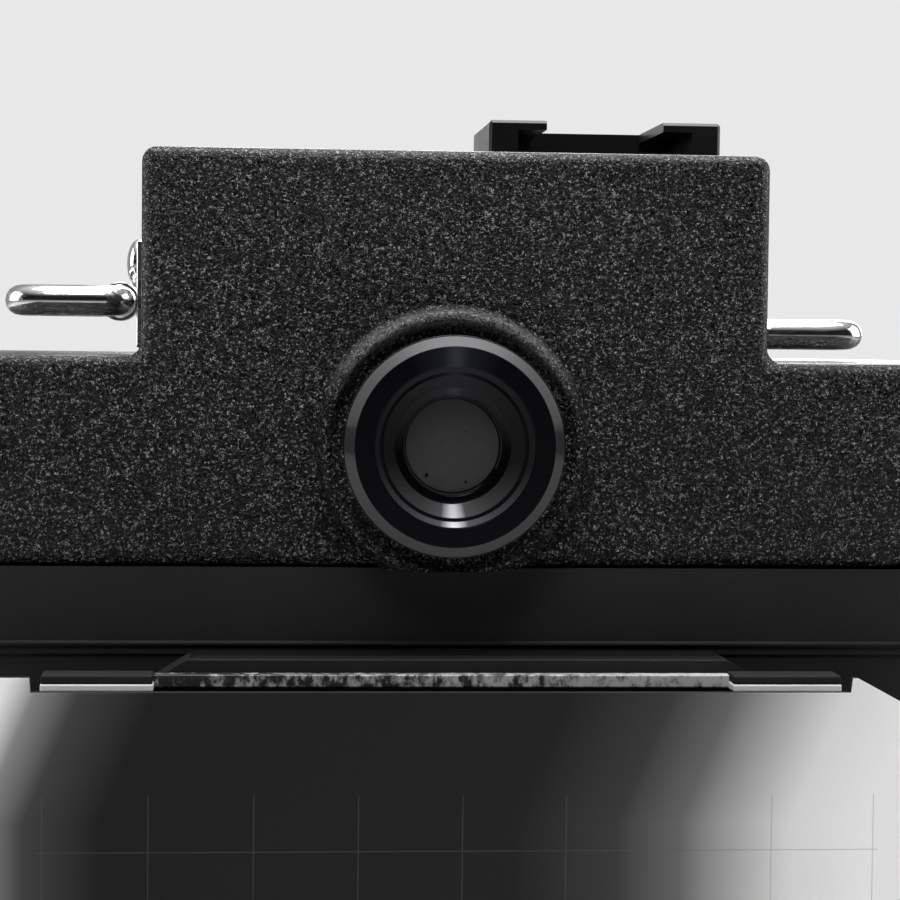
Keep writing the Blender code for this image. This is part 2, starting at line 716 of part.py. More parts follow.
def accessory_shoe():
    bottom = TOWER_TOP + TOUCH
    height = SHOE_BASE + SHOE_SLOT_HEIGHT + SHOE_LIP
    shoe = block(
        "accessory_shoe", centred(SHOE_WIDTH / 2, SHOE_AWAY), centred(SHOE_LENGTH / 2, shoe_y()),
        (bottom, bottom + height), BLACK_SATIN, rounded=0.3 * MM,
    )
    slot = block(
        "shoe_slot", centred(SHOE_SLOT_WIDTH / 2, SHOE_AWAY),
        (shoe_y() - SHOE_LENGTH, shoe_y() + SHOE_LENGTH / 2 - 1.5 * MM),
        (bottom + SHOE_BASE, bottom + SHOE_BASE + SHOE_SLOT_HEIGHT),
    )
    gap = block(
        "shoe_gap", centred(SHOE_LIP_GAP / 2, SHOE_AWAY),
        (shoe_y() - SHOE_LENGTH, shoe_y() + SHOE_LENGTH / 2 - 1.5 * MM),
        (bottom + SHOE_BASE + SHOE_SLOT_HEIGHT / 2, bottom + height + PROUD),
    )
    return cut(shoe, slot, gap)


def shoe_y():
    return (HOUSING_BACK + HOUSING_FRONT) / 2


def selector_dial():
    where = (SIDE_WINDOW_AWAY, HOUSING_FRONT + TOUCH + DIAL_HEIGHT / 2, EYE_Z)
    outline = scalloped(DIAL_RADIUS, 0.3 * MM, 20)
    dial = flat("frame_selector_dial", outline, DIAL_HEIGHT, ALUMINIUM)
    dial.location = where
    turn_to(dial, "Y")
    carry("dial_axis", where, None, dial)


def strap_lug_and_loop(side):
    """A side plate with a knuckle, and the wire loop that swings in it."""
    plate_x = TOWER_WIDTH / 2 + TOUCH
    axis_z = LUG_Z[side]
    centre = (side * LUG_X, LUG_Y, axis_z)
    knuckle_length = LOOP_WIDTH - 2 * LOOP_WIRE - 2.4 * MM
    lug = block(
        side_name("strap_lug", side), between(side, plate_x, plate_x + LUG_PLATE),
        centred(9 * MM, LUG_Y), (SHOULDER + HOUSING_ROUND / 2, axis_z + LUG_HEAD), CHROME, rounded=0.3 * MM,
    )
    join(lug, rod("knuckle_" + str(side), centre, "Y", LUG_KNUCKLE, knuckle_length, steps=20))
    bore = LOOP_WIRE / 2 + RUNNING
    room = LOOP_WIRE / 2 + 2 * RUNNING
    cut(
        lug, rod("knuckle_bore_" + str(side), centre, "Y", bore, LOOP_WIDTH, steps=20),
        *[
            block(
                "loop_room_" + str(side) + str(end),
                between(side, LUG_X - bore - 0.1 * MM, LUG_X + 5 * MM),
                centred(room, LUG_Y + end * (LOOP_WIDTH - LOOP_WIRE) / 2), centred(bore, axis_z),
            )
            for end in (-1, 1)
        ],
    )
    half = (LOOP_WIDTH - LOOP_WIRE) / 2
    reach = LOOP_REACH - LOOP_WIRE / 2
    points = rounded_loop(side, half, reach, 3 * MM)
    loop = wire(side_name("strap_loop", side), points, LOOP_WIRE, CHROME, closed=True)
    loop.location = centre
    carry(side_name("loop_axis", side), centre, None, loop)


def rounded_loop(side, half, reach, corner):
    """A flat loop from the knuckle axis outwards, its outer corners round."""
    points = []
    for sign in (-1, 1):
        arc = []
        for step in range(7):
            angle = math.radians(90) * step / 6
            out = reach - corner + corner * math.sin(angle)
            along = half - corner + corner * math.cos(angle)
            arc.append((side * out, sign * along, 0))
        points += arc if sign < 0 else arc[::-1]
    near = [(0, half - 1.0 * MM, 0), (0, 0, 0), (0, -half + 1.0 * MM, 0)]
    inner = [(side * 0.3 * MM, half - 0.3 * MM, 0), *near, (side * 0.3 * MM, -half + 0.3 * MM, 0)]
    return points + [(side * 1 * MM, half, 0), *inner, (side * 1 * MM, -half, 0)]


# Revolving back


def back_frame():
    half = BACK_FRAME_WIDTH / 2
    frame = block(
        "back_frame", centred(half), (BACK_FACE, BODY_BACK - TOUCH),
        (BODY_BOTTOM + 2.5 * MM, BODY_TOP - TOUCH), BLACK_SATIN, rounded=0.8 * MM,
    )
    middle = (0, (BACK_FACE + BODY_BACK) / 2, BACK_UP)
    return cut(frame, rod("back_hole", middle, "Y", BACK_RING_RADIUS, 30 * MM, steps=56))


def revolving_back():
    centre = (0, REVOLVING_FRONT, BACK_UP)
    plate = block(
        "revolving_frame", centred(REVOLVING_HALF), (REVOLVING_BACK, REVOLVING_FRONT),
        centred(REVOLVING_HALF, BACK_UP), BLACK_SATIN, rounded=0.4 * MM,
    )
    keep = rod("corner_turning", centre, "Y", REVOLVING_REACH, 30 * MM, steps=72)
    combine_kept(plate, keep)
    spigot = rod(
        "spigot", (0, REVOLVING_FRONT + 2 * MM, BACK_UP), "Y", BACK_RING_RADIUS - RUNNING,
        5 * MM, steps=56,
    )
    join(plate, spigot)
    cut(
        plate, block(
            "gate", centred(GATE_SIDE / 2), centred(20 * MM, REVOLVING_FRONT),
            centred(GATE_SIDE / 2, BACK_UP),
        ),
    )
    locks = [lock_bar(sign) for sign in (-1, 1)]
    frame, glass = ground_glass()
    back = carry("back_axis", centre, None, plate)
    carry("top_lock_travel", locks[1].location, back, locks[1])
    carry("bottom_lock_travel", locks[0].location, back, locks[0])
    carry("glass_travel", centre, back, frame, glass)


def combine_kept(obj, other):
    """Keeps only what lies inside the other."""
    CUTTERS.objects.unlink(other)
    combine(obj, other, "INTERSECT")


def lock_bar(sign):
    """The sliding bar above or below the glass frame, with a finger tab at each end."""
    name = "slide_lock_top" if sign > 0 else "slide_lock_bottom"
    back = REVOLVING_BACK - TOUCH
    z = BACK_UP + sign * LOCK_UP
    bar = block(
        name, centred(LOCK_WIDTH / 2), (back - LOCK_THICK, back), centred(LOCK_HEIGHT / 2, z), CHROME
    )
    for side in (-1, 1):
        tab = block(
            name + "_tab_" + str(side),
            between(side, LOCK_WIDTH / 2 - 0.6 * MM, LOCK_WIDTH / 2 + LOCK_TAB),
            (back - LOCK_TAB_OUT, back - 0.4 * MM),
            centred((LOCK_HEIGHT - LOCK_TAB_DROP) / 2, z - sign * LOCK_TAB_DROP / 4),
        )
        join(bar, tab)
    return bar


def ground_glass():
    half = GLASS_FRAME_HALF
    wide = half + GLASS_FRAME_MARGIN - TOUCH
    frame = block(
        "ground_glass_frame", centred(wide), (GLASS_FRAME_BACK, GLASS_FRAME_FRONT),
        centred(half, BACK_UP), BLACK_SATIN,
    )
    turning = rod(
        "frame_turning", (0, GLASS_FRAME_BACK, BACK_UP), "Y", GLASS_FRAME_REACH, 30 * MM, steps=72
    )
    combine_kept(frame, turning)
    window = block(
        "glass_window", centred(GLASS_WINDOW / 2), centred(20 * MM, GLASS_FRAME_BACK),
        centred(GLASS_WINDOW / 2, BACK_UP),
    )
    cut(frame, window)
    outline = clipped(wide - 0.8 * MM, half - TOUCH, GLASS_CLIP)
    glass = flat("ground_glass", outline, GLASS_THICK, MATT_GLASS)
    glass.location = (0, GLASS_FRAME_BACK - TOUCH - GLASS_THICK / 2, BACK_UP)
    turn_to(glass, "Y")
    return frame, glass


def clipped(half_x, half_y, clip):
    """A rectangle with its corners cut off."""
    near_x = half_x - clip
    near_y = half_y - clip
    return [
        (near_x, half_y), (-near_x, half_y), (-half_x, near_y), (-half_x, -near_y),
        (-near_x, -half_y), (near_x, -half_y), (half_x, -near_y), (half_x, near_y),
    ]


# Bed, struts and focusing


def hinge_parts():
    """Fixed ears on the body's front lower edge, and the pin through ears and bed."""
    axis_z = HINGE_UP
    pieces = []
    ear_half = HINGE_EAR / 2
    ear_x = BED_WIDTH / 2 - 14 * MM
    plate = block(
        "bed_hinge", centred(ear_x + ear_half), (BODY_FRONT + TOUCH, BODY_FRONT + TOUCH + 0.9 * MM),
        (BODY_BOTTOM + 0.2 * MM, BODY_BOTTOM + BODY_WALL), STEEL,
    )
    for side in (-1, 1):
        x = centred(ear_half, side * ear_x)
        pieces.append(
            block(
                "ear_web_" + str(side), x, (BODY_FRONT + TOUCH + 0.4 * MM, HINGE_Y),
                (BODY_BOTTOM + 0.7 * MM, axis_z + 0.4 * MM),
            )
        )
        pieces.append(
            rod(
                "ear_" + str(side), (side * ear_x, HINGE_Y, axis_z), "X", HINGE_KNUCKLE,
                HINGE_EAR, steps=24,
            )
        )
    join(plate, *pieces)
    bore = HINGE_PIN_RADIUS + RUNNING
    cut(plate, rod("ear_bore", (0, HINGE_Y, axis_z), "X", bore, BED_WIDTH, steps=24))
    rod(
        "bed_hinge_pin", (0, HINGE_Y, axis_z), "X", HINGE_PIN_RADIUS, BED_WIDTH - 4 * MM, STEEL,
        steps=24,
    )


def bed():
    """A shallow tray with two side walls and a hinge tube along its rear edge."""
    half = BED_WIDTH / 2
    wall_top = BED_BOTTOM + BED_WALL_HEIGHT
    front = BED_FRONT
    tray = block(
        "bed", centred(half), (BED_REAR, front), (BED_BOTTOM, wall_top), BLACK_SATIN,
        rounded=1.0 * MM,
    )
    room = block(
        "bed_room", centred(half - BED_WALL), (BED_REAR - PROUD, front + PROUD),
        (BED_FLOOR, wall_top + PROUD),
    )
    tube = rod("hinge_tube", (0, HINGE_Y, HINGE_UP), "X", HINGE_KNUCKLE, BED_WIDTH - 5 * MM, steps=24)
    web = block(
        "hinge_web", centred(half - 2.5 * MM), (HINGE_Y, BED_REAR + 2 * MM), (BED_BOTTOM, BED_FLOOR + 1 * MM)
    )
    cut(tray, room)
    join(tray, tube, web)
    ear_room = HINGE_EAR / 2 + RUNNING
    ear_x = half - 14 * MM
    cut(
        tray, rod("pin_bore", (0, HINGE_Y, HINGE_UP), "X", HINGE_PIN_RADIUS + RUNNING, 2 * BED_WIDTH, steps=24),
        *[
            block(
                "ear_room_" + str(side), centred(ear_room, side * ear_x),
                (HINGE_Y - 8 * MM, HINGE_Y + HINGE_KNUCKLE + 0.9 * MM), (BED_BOTTOM - PROUD, wall_top + PROUD),
            )
            for side in (-1, 1)
        ],
        rod("shaft_bore", (0, SHAFT_Y, SHAFT_Z), "X", SHAFT_RADIUS + RUNNING, 2 * BED_WIDTH, steps=24),
    )
    return tray


def bed_rails():
    rails = []
    for side in (-1, 1):
        rail = block(
            side_name("bed_rail", side), centred(RAIL_WIDTH / 2, side * RAIL_APART / 2),
            (BED_REAR + 6 * MM, BED_FRONT - 1 * MM), (BED_FLOOR + TOUCH, RAIL_TOP), STEEL,
            rounded=0.4 * MM,
        )
        hole = rod(
            "rail_bore_" + str(side), (side * RAIL_APART / 2, SHAFT_Y, SHAFT_Z), "X",
            SHAFT_RADIUS + RUNNING, 2 * RAIL_WIDTH, steps=24,
        )
        rails.append(cut(rail, hole))
    return rails


def struts():
    made = []
    for side in (-1, 1):
        away = STUD - STRUT_FOOT
        length = away.length
        foot = Vector((side * STRUT_X, STRUT_FOOT.y, STRUT_FOOT.z))
        half = STRUT_WIDTH / 2
        bar = block(
            side_name("strut", side), between(side, STRUT_X, STRUT_X + STRUT_THICK),
            (foot.y - half, foot.y + length + half), centred(half, foot.z), STEEL, origin=foot,
            rounded=0.2 * MM,
        )
        slot = block(
            "strut_slot_" + str(side), between(side, STRUT_X - 3 * MM, STRUT_X + 6 * MM),
            (foot.y + length - STUD_RADIUS - 0.6 * MM - 1 * MM, foot.y + length + STUD_TRAVEL),
            centred(STUD_RADIUS + 0.5 * MM, foot.z), origin=foot,
        )
        tip = block(
            "strut_tip_" + str(side), between(side, STRUT_X, STRUT_X + STRUT_THICK),
            (foot.y + length, foot.y + length + STUD_TRAVEL + 2.5 * MM), centred(half, foot.z),
            origin=foot,
        )
        turn = math.atan2(away.z, away.y)
        for piece in (bar, slot, tip):
            piece.rotation_euler.x = turn
        join(bar, tip)
        made.append(cut(bar, slot))
    return made


def rack_outline():
    """Teeth that hang down, with a gap over the pinion's top tooth at rest; u runs along -Y."""
    half_tooth = (TOOTH_PITCH - TOOTH_BACKLASH) / 4
    count = int(TRACK_LENGTH / TOOTH_PITCH) - 2
    rear = TRACK_REAR + 1.5 * MM
    first = SHAFT_Y + TOOTH_PITCH / 2
    first -= math.floor((first - rear) / TOOTH_PITCH - 0.5) * TOOTH_PITCH
    points = [(rear, RACK_TOP)]
    for tooth in range(count):
        middle = first + tooth * TOOTH_PITCH
        points += [
            (middle - 1.6 * half_tooth, PITCH_Z + TOOTH_DEEP),
            (middle - 0.7 * half_tooth, PITCH_Z - TOOTH_HIGH),
            (middle + 0.7 * half_tooth, PITCH_Z - TOOTH_HIGH),
            (middle + 1.6 * half_tooth, PITCH_Z + TOOTH_DEEP),
        ]
    points.append((TRACK_FRONT - 1 * MM, PITCH_Z + TOOTH_DEEP))
    points.append((TRACK_FRONT - 1 * MM, RACK_TOP))
    points.insert(1, (rear, PITCH_Z + TOOTH_DEEP))
    return points


def upright_plate(name, outline, width, finish, x=0.0):
    """A plate whose outline is given as (Y, Z), its thickness along X."""
    plate = flat(name, outline, width, finish)
    plate.matrix_world = Matrix(((0, 0, 1, x), (1, 0, 0, 0), (0, 1, 0, 0), (0, 0, 0, 1)))
    return plate


def focus_pinion():
    """Shaft and pinion in one, with a knob on each end."""
    centre = (0, SHAFT_Y, SHAFT_Z)
    shaft_half = BED_WIDTH / 2 + STRUT_THICK + 3 * MM + KNOB_WIDTH - 1.5 * MM
    shaft = rod("focus_pinion", centre, "X", SHAFT_RADIUS, 2 * shaft_half, STEEL, steps=20)
    outline = scalloped(PITCH_RADIUS + TOOTH_HIGH, TOOTH_HIGH + TOOTH_DEEP * 0.8, TEETH, share=0.72)
    gear = flat("pinion_teeth", outline, PINION_WIDTH)
    gear.matrix_world = Matrix(
        ((0, 0, 1, 0), (1, 0, 0, SHAFT_Y), (0, 1, 0, SHAFT_Z), (0, 0, 0, 1))
    )
    join(shaft, gear)
    knobs = []
    for side in (-1, 1):
        inner = BED_WIDTH / 2 + STRUT_THICK + 3 * MM
        x = side * (inner + KNOB_WIDTH / 2)
        knob = flat(
            side_name("focus_knob", side),
            scalloped(KNOB_RADIUS, KNOB_FLUTE_DEEP, KNOB_FLUTES), KNOB_WIDTH, ALUMINIUM,
        )
        knob.location = (x, SHAFT_Y, SHAFT_Z)
        turn_to(knob, "X")
        bore = rod(
            "knob_bore_" + str(side), (x - side * 1.5 * MM, SHAFT_Y, SHAFT_Z), "X",
            SHAFT_RADIUS + TOUCH, KNOB_WIDTH, steps=20,
        )
        knobs.append(cut(knob, bore))
    return [shaft, *knobs]


def focus_lock_lever():
    """A flat lever on the bed's side wall top that clamps the track."""
    x = BED_WIDTH / 2 - BED_WALL / 2
    pivot = Vector((x, BED_FRONT - 12 * MM, BED_BOTTOM + BED_WALL_HEIGHT + TOUCH))
    lever = block(
        "focus_lock_lever", centred(2.2 * MM, x), (pivot.y - LEVER_LENGTH, pivot.y + 3 * MM),
        (pivot.z, pivot.z + 1.6 * MM), CHROME, origin=pivot, rounded=0.4 * MM,
    )
    join(lever, rod("lever_hub", pivot + Vector((0, 0, 1.4 * MM)), "Z", 3.2 * MM, 2.8 * MM, steps=24))
    return lever, pivot


def bed_foot():
    middle = BED_FRONT - 10 * MM
    return block(
        "bed_foot", centred(FOOT_WIDTH / 2), centred(FOOT_LENGTH / 2, middle),
        (0, BED_BOTTOM - TOUCH), STEEL, rounded=0.5 * MM,
    )


def track_parts():
    track = block(
        "focus_track", centred(TRACK_WIDTH / 2), (TRACK_REAR, TRACK_FRONT),
        (TRACK_BOTTOM, TRACK_TOP), STEEL, rounded=0.4 * MM,
    )
    rack = upright_plate("focus_rack", rack_outline(), PINION_WIDTH - 1 * MM, BRASS)
    middle = STANDARD_REAR + STANDARD_DEEP / 2 - 4 * MM
    carriage = block(
        "standard_carriage", centred(CARRIAGE_WIDTH / 2), centred(CARRIAGE_LENGTH / 2, middle),
        (TRACK_TOP + TOUCH, CARRIAGE_TOP), BLACK_SATIN, rounded=0.6 * MM,
    )
    return [track, rack, carriage, standard_frame()]


# Front standard


def standard_frame():
    """A U of one bar and two uprights, slotted for the rise knobs."""
    half = STANDARD_WIDTH / 2
    bar = block(
        "standard_frame", centred(half), (STANDARD_REAR, STANDARD_FRONT),
        (STANDARD_FOOT, STANDARD_HEIGHT), BLACK_SATIN,
    )
    gap = block(
        "standard_gap", centred(half - UPRIGHT_WIDTH), (STANDARD_REAR - PROUD, STANDARD_FRONT + PROUD),
        (STANDARD_FOOT + STANDARD_BAR, STANDARD_HEIGHT + PROUD),
    )
    slot = block(
        "rise_slot", centred(half + PROUD), centred(1.5 * MM + 2 * RUNNING, KNOB_AXIS_Y),
        (LENS_UP - RISE_DOWN - 2.5 * MM, LENS_UP + RISE_UP + 2.5 * MM),
    )
    cut(bar, gap, slot)
    return round_edges(bar, 0.6 * MM)


def ring_plate(name, half_x, half_z, y, opening_x, opening_z, rounded=0.4 * MM):
    plate = block(
        name, centred(half_x), y, centred(half_z, LENS_UP), BLACK_SATIN, rounded=rounded
    )
    hole = block(
        name + "_hole", centred(opening_x), (y[0] - PROUD, y[1] + PROUD), centred(opening_z, LENS_UP)
    )
    return cut(plate, hole)


def riser_frame():
    half_x = RISER_WIDTH / 2
    half_z = RISER_HEIGHT / 2
    riser = ring_plate(
        "riser_frame", half_x, half_z, (STANDARD_REAR + 0.2 * MM, STANDARD_FRONT),
        TILT_WIDTH / 2 + SHIFT_RANGE + RUNNING, half_z - RISER_WALL,
    )
    lips = [
        block(
            "lip_" + str(sign), centred(half_x - 0.5 * MM), (STANDARD_FRONT - 2 * MM, SHIFT_FRONT + 0.4 * MM),
            tuple(sorted((
                LENS_UP + sign * (SHIFT_HEIGHT / 2 + RUNNING), LENS_UP + sign * (half_z - 0.5 * MM)
            ))),
        )
        for sign in (-1, 1)
    ]
    return join(riser, *lips)


def rise_knob(side):
    """A fluted clamp knob whose stud runs through the upright's slot."""
    inner = STANDARD_WIDTH / 2 + 0.6 * MM
    x = side * (inner + RISE_KNOB_WIDTH / 2)
    knob = flat(
        side_name("rise_knob", side), scalloped(RISE_KNOB_RADIUS, 0.4 * MM, 18),
        RISE_KNOB_WIDTH, ALUMINIUM,
    )
    knob.location = (x, KNOB_AXIS_Y, LENS_UP)
    turn_to(knob, "X")
    stud_inner = RISER_WIDTH / 2 + TOUCH
    stud = rod(
        "rise_stud_" + str(side), (side * (stud_inner + inner + 2 * MM) / 2, KNOB_AXIS_Y, LENS_UP), "X",
        1.5 * MM, inner + 2 * MM - stud_inner, steps=16,
    )
    return join(knob, stud)


def shift_frame():
    frame = ring_plate(
        "shift_frame", SHIFT_WIDTH / 2, SHIFT_HEIGHT / 2, (SHIFT_REAR, SHIFT_FRONT),
        TILT_WIDTH / 2 + 0.6 * MM, SHIFT_OPENING / 2,
    )
    bore = rod("trunnion_bore", (0, TILT_Y, LENS_UP), "X", TRUNNION + RUNNING, 2 * SHIFT_WIDTH, steps=20)
    return cut(frame, bore)


def tilt_frame():
    frame = ring_plate(
        "tilt_frame", TILT_WIDTH / 2, TILT_WIDTH / 2, (SHIFT_REAR, TILT_FRONT),
        TILT_OPENING / 2, TILT_OPENING / 2,
    )
    length = SHIFT_WIDTH / 2 - TILT_OPENING / 2 - 2 * MM
    pins = [
        rod(
            "trunnion_" + str(side),
            (side * (TILT_OPENING / 2 + 1 * MM + length / 2), TILT_Y, LENS_UP), "X", TRUNNION,
            length, steps=20,
        )
        for side in (-1, 1)
    ]
    return join(frame, *pins)


# Lens


def lens_board():
    board = block(
        "lens_board", centred(BOARD_SIDE / 2), (BOARD_REAR, BOARD_FRONT),
        centred(BOARD_SIDE / 2, LENS_UP), BLACK_SATIN, rounded=0.6 * MM,
    )
    hole = rod("shutter_hole", (0, BOARD_REAR, LENS_UP), "Y", SHUTTER_THREAD + TOUCH, 30 * MM)
    return cut(board, hole)


def shutter_parts():
    depth = SHUTTER_DEEP
    bore = LENS_RADIUS - 1.5 * MM
    profile = [
        (SHUTTER_RADIUS - 0.8 * MM, depth), (SHUTTER_RADIUS, depth - 0.8 * MM),
        (SHUTTER_RADIUS, 0), (SHUTTER_THREAD, 0), (SHUTTER_THREAD, -BOARD_THICK),
        (bore, -BOARD_THICK), (bore, depth),
    ]
    body = turned("shutter_body", (0, SHUTTER_REAR, LENS_UP), "Y", profile, BLACK_SATIN, steps=40)
    outline = scalloped(SPEED_RING_RADIUS, 0.5 * MM, 30)
    ring = flat("speed_ring", outline, SPEED_RING_DEEP, ALUMINIUM)
    ring.location = (0, SPEED_REAR + SPEED_RING_DEEP / 2, LENS_UP)
    turn_to(ring, "Y")
    cut(ring, rod("speed_bore", ring.location, "Y", SPEED_RING_BORE, 20 * MM, steps=40))
    front = front_cell()
    rear = rear_cell()
    return [body, *front, *rear], ring


def front_cell():
    start = SHUTTER_FRONT + TOUCH
    depth = FRONT_CELL_DEEP
    thread = SPEED_RING_BORE - RUNNING - 1 * MM
    profile = [
        (FRONT_CELL_RADIUS + 2 * MM, depth), (FRONT_CELL_RADIUS + 2.5 * MM, depth - 0.6 * MM),
        (FRONT_CELL_RADIUS + 2.5 * MM, depth - 7 * MM), (FRONT_CELL_RADIUS, depth - 9 * MM),
        (thread, SPEED_RING_DEEP + 2 * TOUCH), (thread, 0), (LENS_RADIUS - 2.5 * MM, 0),
        (LENS_RADIUS - 2.5 * MM, 4 * MM), (LENS_RADIUS + TOUCH, 4 * MM),
        (LENS_RADIUS + TOUCH, depth - 4 * MM), (FRONT_CELL_RADIUS + 0.5 * MM, depth - 1.2 * MM),
        (FRONT_CELL_RADIUS + 0.5 * MM, depth),
    ]
    cell = turned("front_lens_cell", (0, start, LENS_UP), "Y", profile, BLACK_ANODISED, steps=36)
    glass = lens_glass("front_lens", start + 4 * MM + TOUCH, 1.8 * MM, 4 * MM)
    return cell, glass


def rear_cell():
    end = SHUTTER_REAR - BOARD_THICK - TOUCH
    depth = REAR_CELL_DEEP
    profile = [
        (REAR_CELL_RADIUS - 0.5 * MM, 0), (REAR_CELL_RADIUS, -0.5 * MM),
        (REAR_CELL_RADIUS, -depth), (LENS_RADIUS + TOUCH, -depth),
        (LENS_RADIUS + TOUCH, -depth + 6 * MM), (LENS_RADIUS - 2.5 * MM, -depth + 6 * MM),
        (LENS_RADIUS - 2.5 * MM, 0),
    ]
    cell = turned("rear_lens_cell", (0, end, LENS_UP), "Y", profile, BLACK_ANODISED, steps=32)
    glass = lens_glass("rear_lens", end - depth + 6 * MM - TOUCH, -1.2 * MM, -3 * MM)
    return cell, glass


def lens_glass(name, start, crown, edge):
    """A plano-convex glass from its flat face towards +Y or, with negative sizes, -Y."""
    towards = 1 if edge > 0 else -1
    rings = 4
    profile = []
    for i in range(rings + 1):
        radius = LENS_RADIUS * i / rings
        profile.append((radius, abs(edge) + abs(crown) * (1 - (i / rings) ** 2)))
    profile += [(LENS_RADIUS, 0), (0, 0)]
    axis = "Y" if towards > 0 else "-Y"
    return turned(name, (0, start, LENS_UP), axis, profile, CLEAR_GLASS, steps=28)


def shutter_lever(name, angle, reach, width, y, finish):
    """A lever that turns about the lens axis, out past the shutter's rim."""
    rim = SHUTTER_RADIUS + RUNNING
    lever = block(
        name, centred(width / 2), y, (rim, reach), finish, origin=(0, 0, 0), rounded=0.3 * MM
    )
    lever.location = (0, 0, LENS_UP)
    lever.rotation_euler.y = angle
    return lever


# Bellows


def bellows():
    """A pleated tapering tube with clipped corners, open at both ends."""
    shape = bmesh.new()
    rings = []
    count = 2 * BELLOWS_PLEATS
    for i in range(count + 1):
        share = i / count
        fold = BELLOWS_FOLD * (1 if i % 2 else -1) / 2
        half_x = mix(BELLOWS_REAR_WIDTH, BELLOWS_FRONT, share) / 2 + fold
        half_z = mix(BELLOWS_REAR_HEIGHT, BELLOWS_FRONT, share) / 2 + fold
        corner = mix(BELLOWS_CORNER, 0.7 * BELLOWS_CORNER, share)
        y = mix(BELLOWS_BACK, BELLOWS_AHEAD, share)
        middle = mix(BACK_UP, LENS_UP, share)
        near_x = half_x - corner
        near_z = half_z - corner
        outline = [
            (half_x, near_z), (near_x, half_z), (-near_x, half_z), (-half_x, near_z),
            (-half_x, -near_z), (-near_x, -half_z), (near_x, -half_z), (half_x, -near_z),
        ]
        rings.append([shape.verts.new((x, y, middle + z)) for x, z in outline])
    for first, second in zip(rings, rings[1:]):
        for i in range(8):
            j = (i + 1) % 8
            shape.faces.new((first[i], first[j], second[j], second[i]))
    bmesh.ops.recalc_face_normals(shape, faces=shape.faces)
    mesh = bpy.data.meshes.new("bellows")
    shape.to_mesh(mesh)
    shape.free()
    obj = place("bellows", mesh, BELLOWS_SKIN)
    skin = obj.modifiers.new("skin", "SOLIDIFY")
    skin.thickness = BELLOWS_WALL
    skin.offset = -1
    return obj


def mix(a, b, share):
    return a + (b - a) * share


# Assembly


def front_assembly():
    """The bed and everything that slides, rises, shifts and tilts on it."""
    bed_axis = carry("bed_axis", (0, HINGE_Y, HINGE_UP), None, bed(), bed_foot(), *bed_rails())
    for side, strut in zip((-1, 1), struts()):
        carry(side_name("strut_axis", side), strut.location, bed_axis, strut)
    carry("pinion_axis", (0, SHAFT_Y, SHAFT_Z), bed_axis, *focus_pinion())
    lever, pivot = focus_lock_lever()
    carry("lock_lever_axis", pivot, bed_axis, lever)
    track = carry("focus_travel", (0, TRACK_REAR, TRACK_BOTTOM), bed_axis, *track_parts())
    riser = carry("rise_travel", (0, STANDARD_REAR, LENS_UP), track, riser_frame())
    for side in (-1, 1):
        where = (side * STANDARD_WIDTH / 2, KNOB_AXIS_Y, LENS_UP)
        carry(side_name("rise_knob_axis", side), where, riser, rise_knob(side))
    shifter = carry("shift_travel", (0, SHIFT_REAR, LENS_UP), riser, shift_frame())
    fixed, ring = shutter_parts()
    tilt = carry("tilt_axis", (0, TILT_Y, LENS_UP), shifter, tilt_frame(), lens_board(), *fixed)
    axis = (0, SHUTTER_REAR, LENS_UP)
    carry("speed_axis", axis, tilt, ring)
    near = (SHUTTER_REAR + 1 * MM, SHUTTER_REAR + 2.6 * MM)
    far = (SHUTTER_REAR + 5 * MM, SHUTTER_REAR + 6.6 * MM)
    levers = {
        "aperture_lever": (math.radians(180), SHUTTER_RADIUS + 5 * MM, 3 * MM, near, CHROME),
        "cocking_lever": (math.radians(-35), SHUTTER_RADIUS + 7 * MM, 3.4 * MM, far, CHROME),
        "release_lever": (math.radians(115), SHUTTER_RADIUS + 7 * MM, 3.4 * MM, far, CHROME),
    }
    for name, (angle, reach, width, y, finish) in levers.items():
        carry(name + "_axis", axis, tilt, shutter_lever(name, angle, reach, width, y, finish))


def main():
    clear_scene()
    body_shell()
    tripod_parts()
    coverings()
    latch_button()
    rangefinder_housing()
    windows()
    eyepiece()
    chassis_and_prism()
    accessory_shoe()
    selector_dial()
    for side in (-1, 1):
        strap_lug_and_loop(side)
    back_frame()
    revolving_back()
    hinge_parts()
    bellows()
    front_assembly()


main()
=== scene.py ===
"""The looks of the folding view camera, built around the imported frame."""

import math

import bmesh
import bpy
from mathutils import Matrix, Vector


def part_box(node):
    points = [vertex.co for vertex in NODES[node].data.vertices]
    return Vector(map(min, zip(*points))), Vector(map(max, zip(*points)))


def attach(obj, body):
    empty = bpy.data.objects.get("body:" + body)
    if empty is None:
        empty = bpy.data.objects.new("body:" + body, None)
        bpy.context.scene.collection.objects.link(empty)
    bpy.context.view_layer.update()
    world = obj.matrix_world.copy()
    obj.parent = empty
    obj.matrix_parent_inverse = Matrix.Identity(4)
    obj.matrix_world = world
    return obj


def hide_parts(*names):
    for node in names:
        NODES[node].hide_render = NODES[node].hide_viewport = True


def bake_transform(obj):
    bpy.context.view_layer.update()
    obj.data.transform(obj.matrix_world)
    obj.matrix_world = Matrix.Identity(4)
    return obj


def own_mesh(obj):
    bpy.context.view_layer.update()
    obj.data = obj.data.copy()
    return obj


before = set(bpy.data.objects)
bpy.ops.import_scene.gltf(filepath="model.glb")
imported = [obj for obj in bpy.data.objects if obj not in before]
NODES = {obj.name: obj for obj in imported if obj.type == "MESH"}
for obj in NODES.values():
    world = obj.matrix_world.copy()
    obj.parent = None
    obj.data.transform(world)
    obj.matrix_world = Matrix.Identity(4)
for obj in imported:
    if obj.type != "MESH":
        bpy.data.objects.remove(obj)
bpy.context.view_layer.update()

MM = 0.001
GAP = 0.3 * MM           # room left between a piece and the CAD node beside it

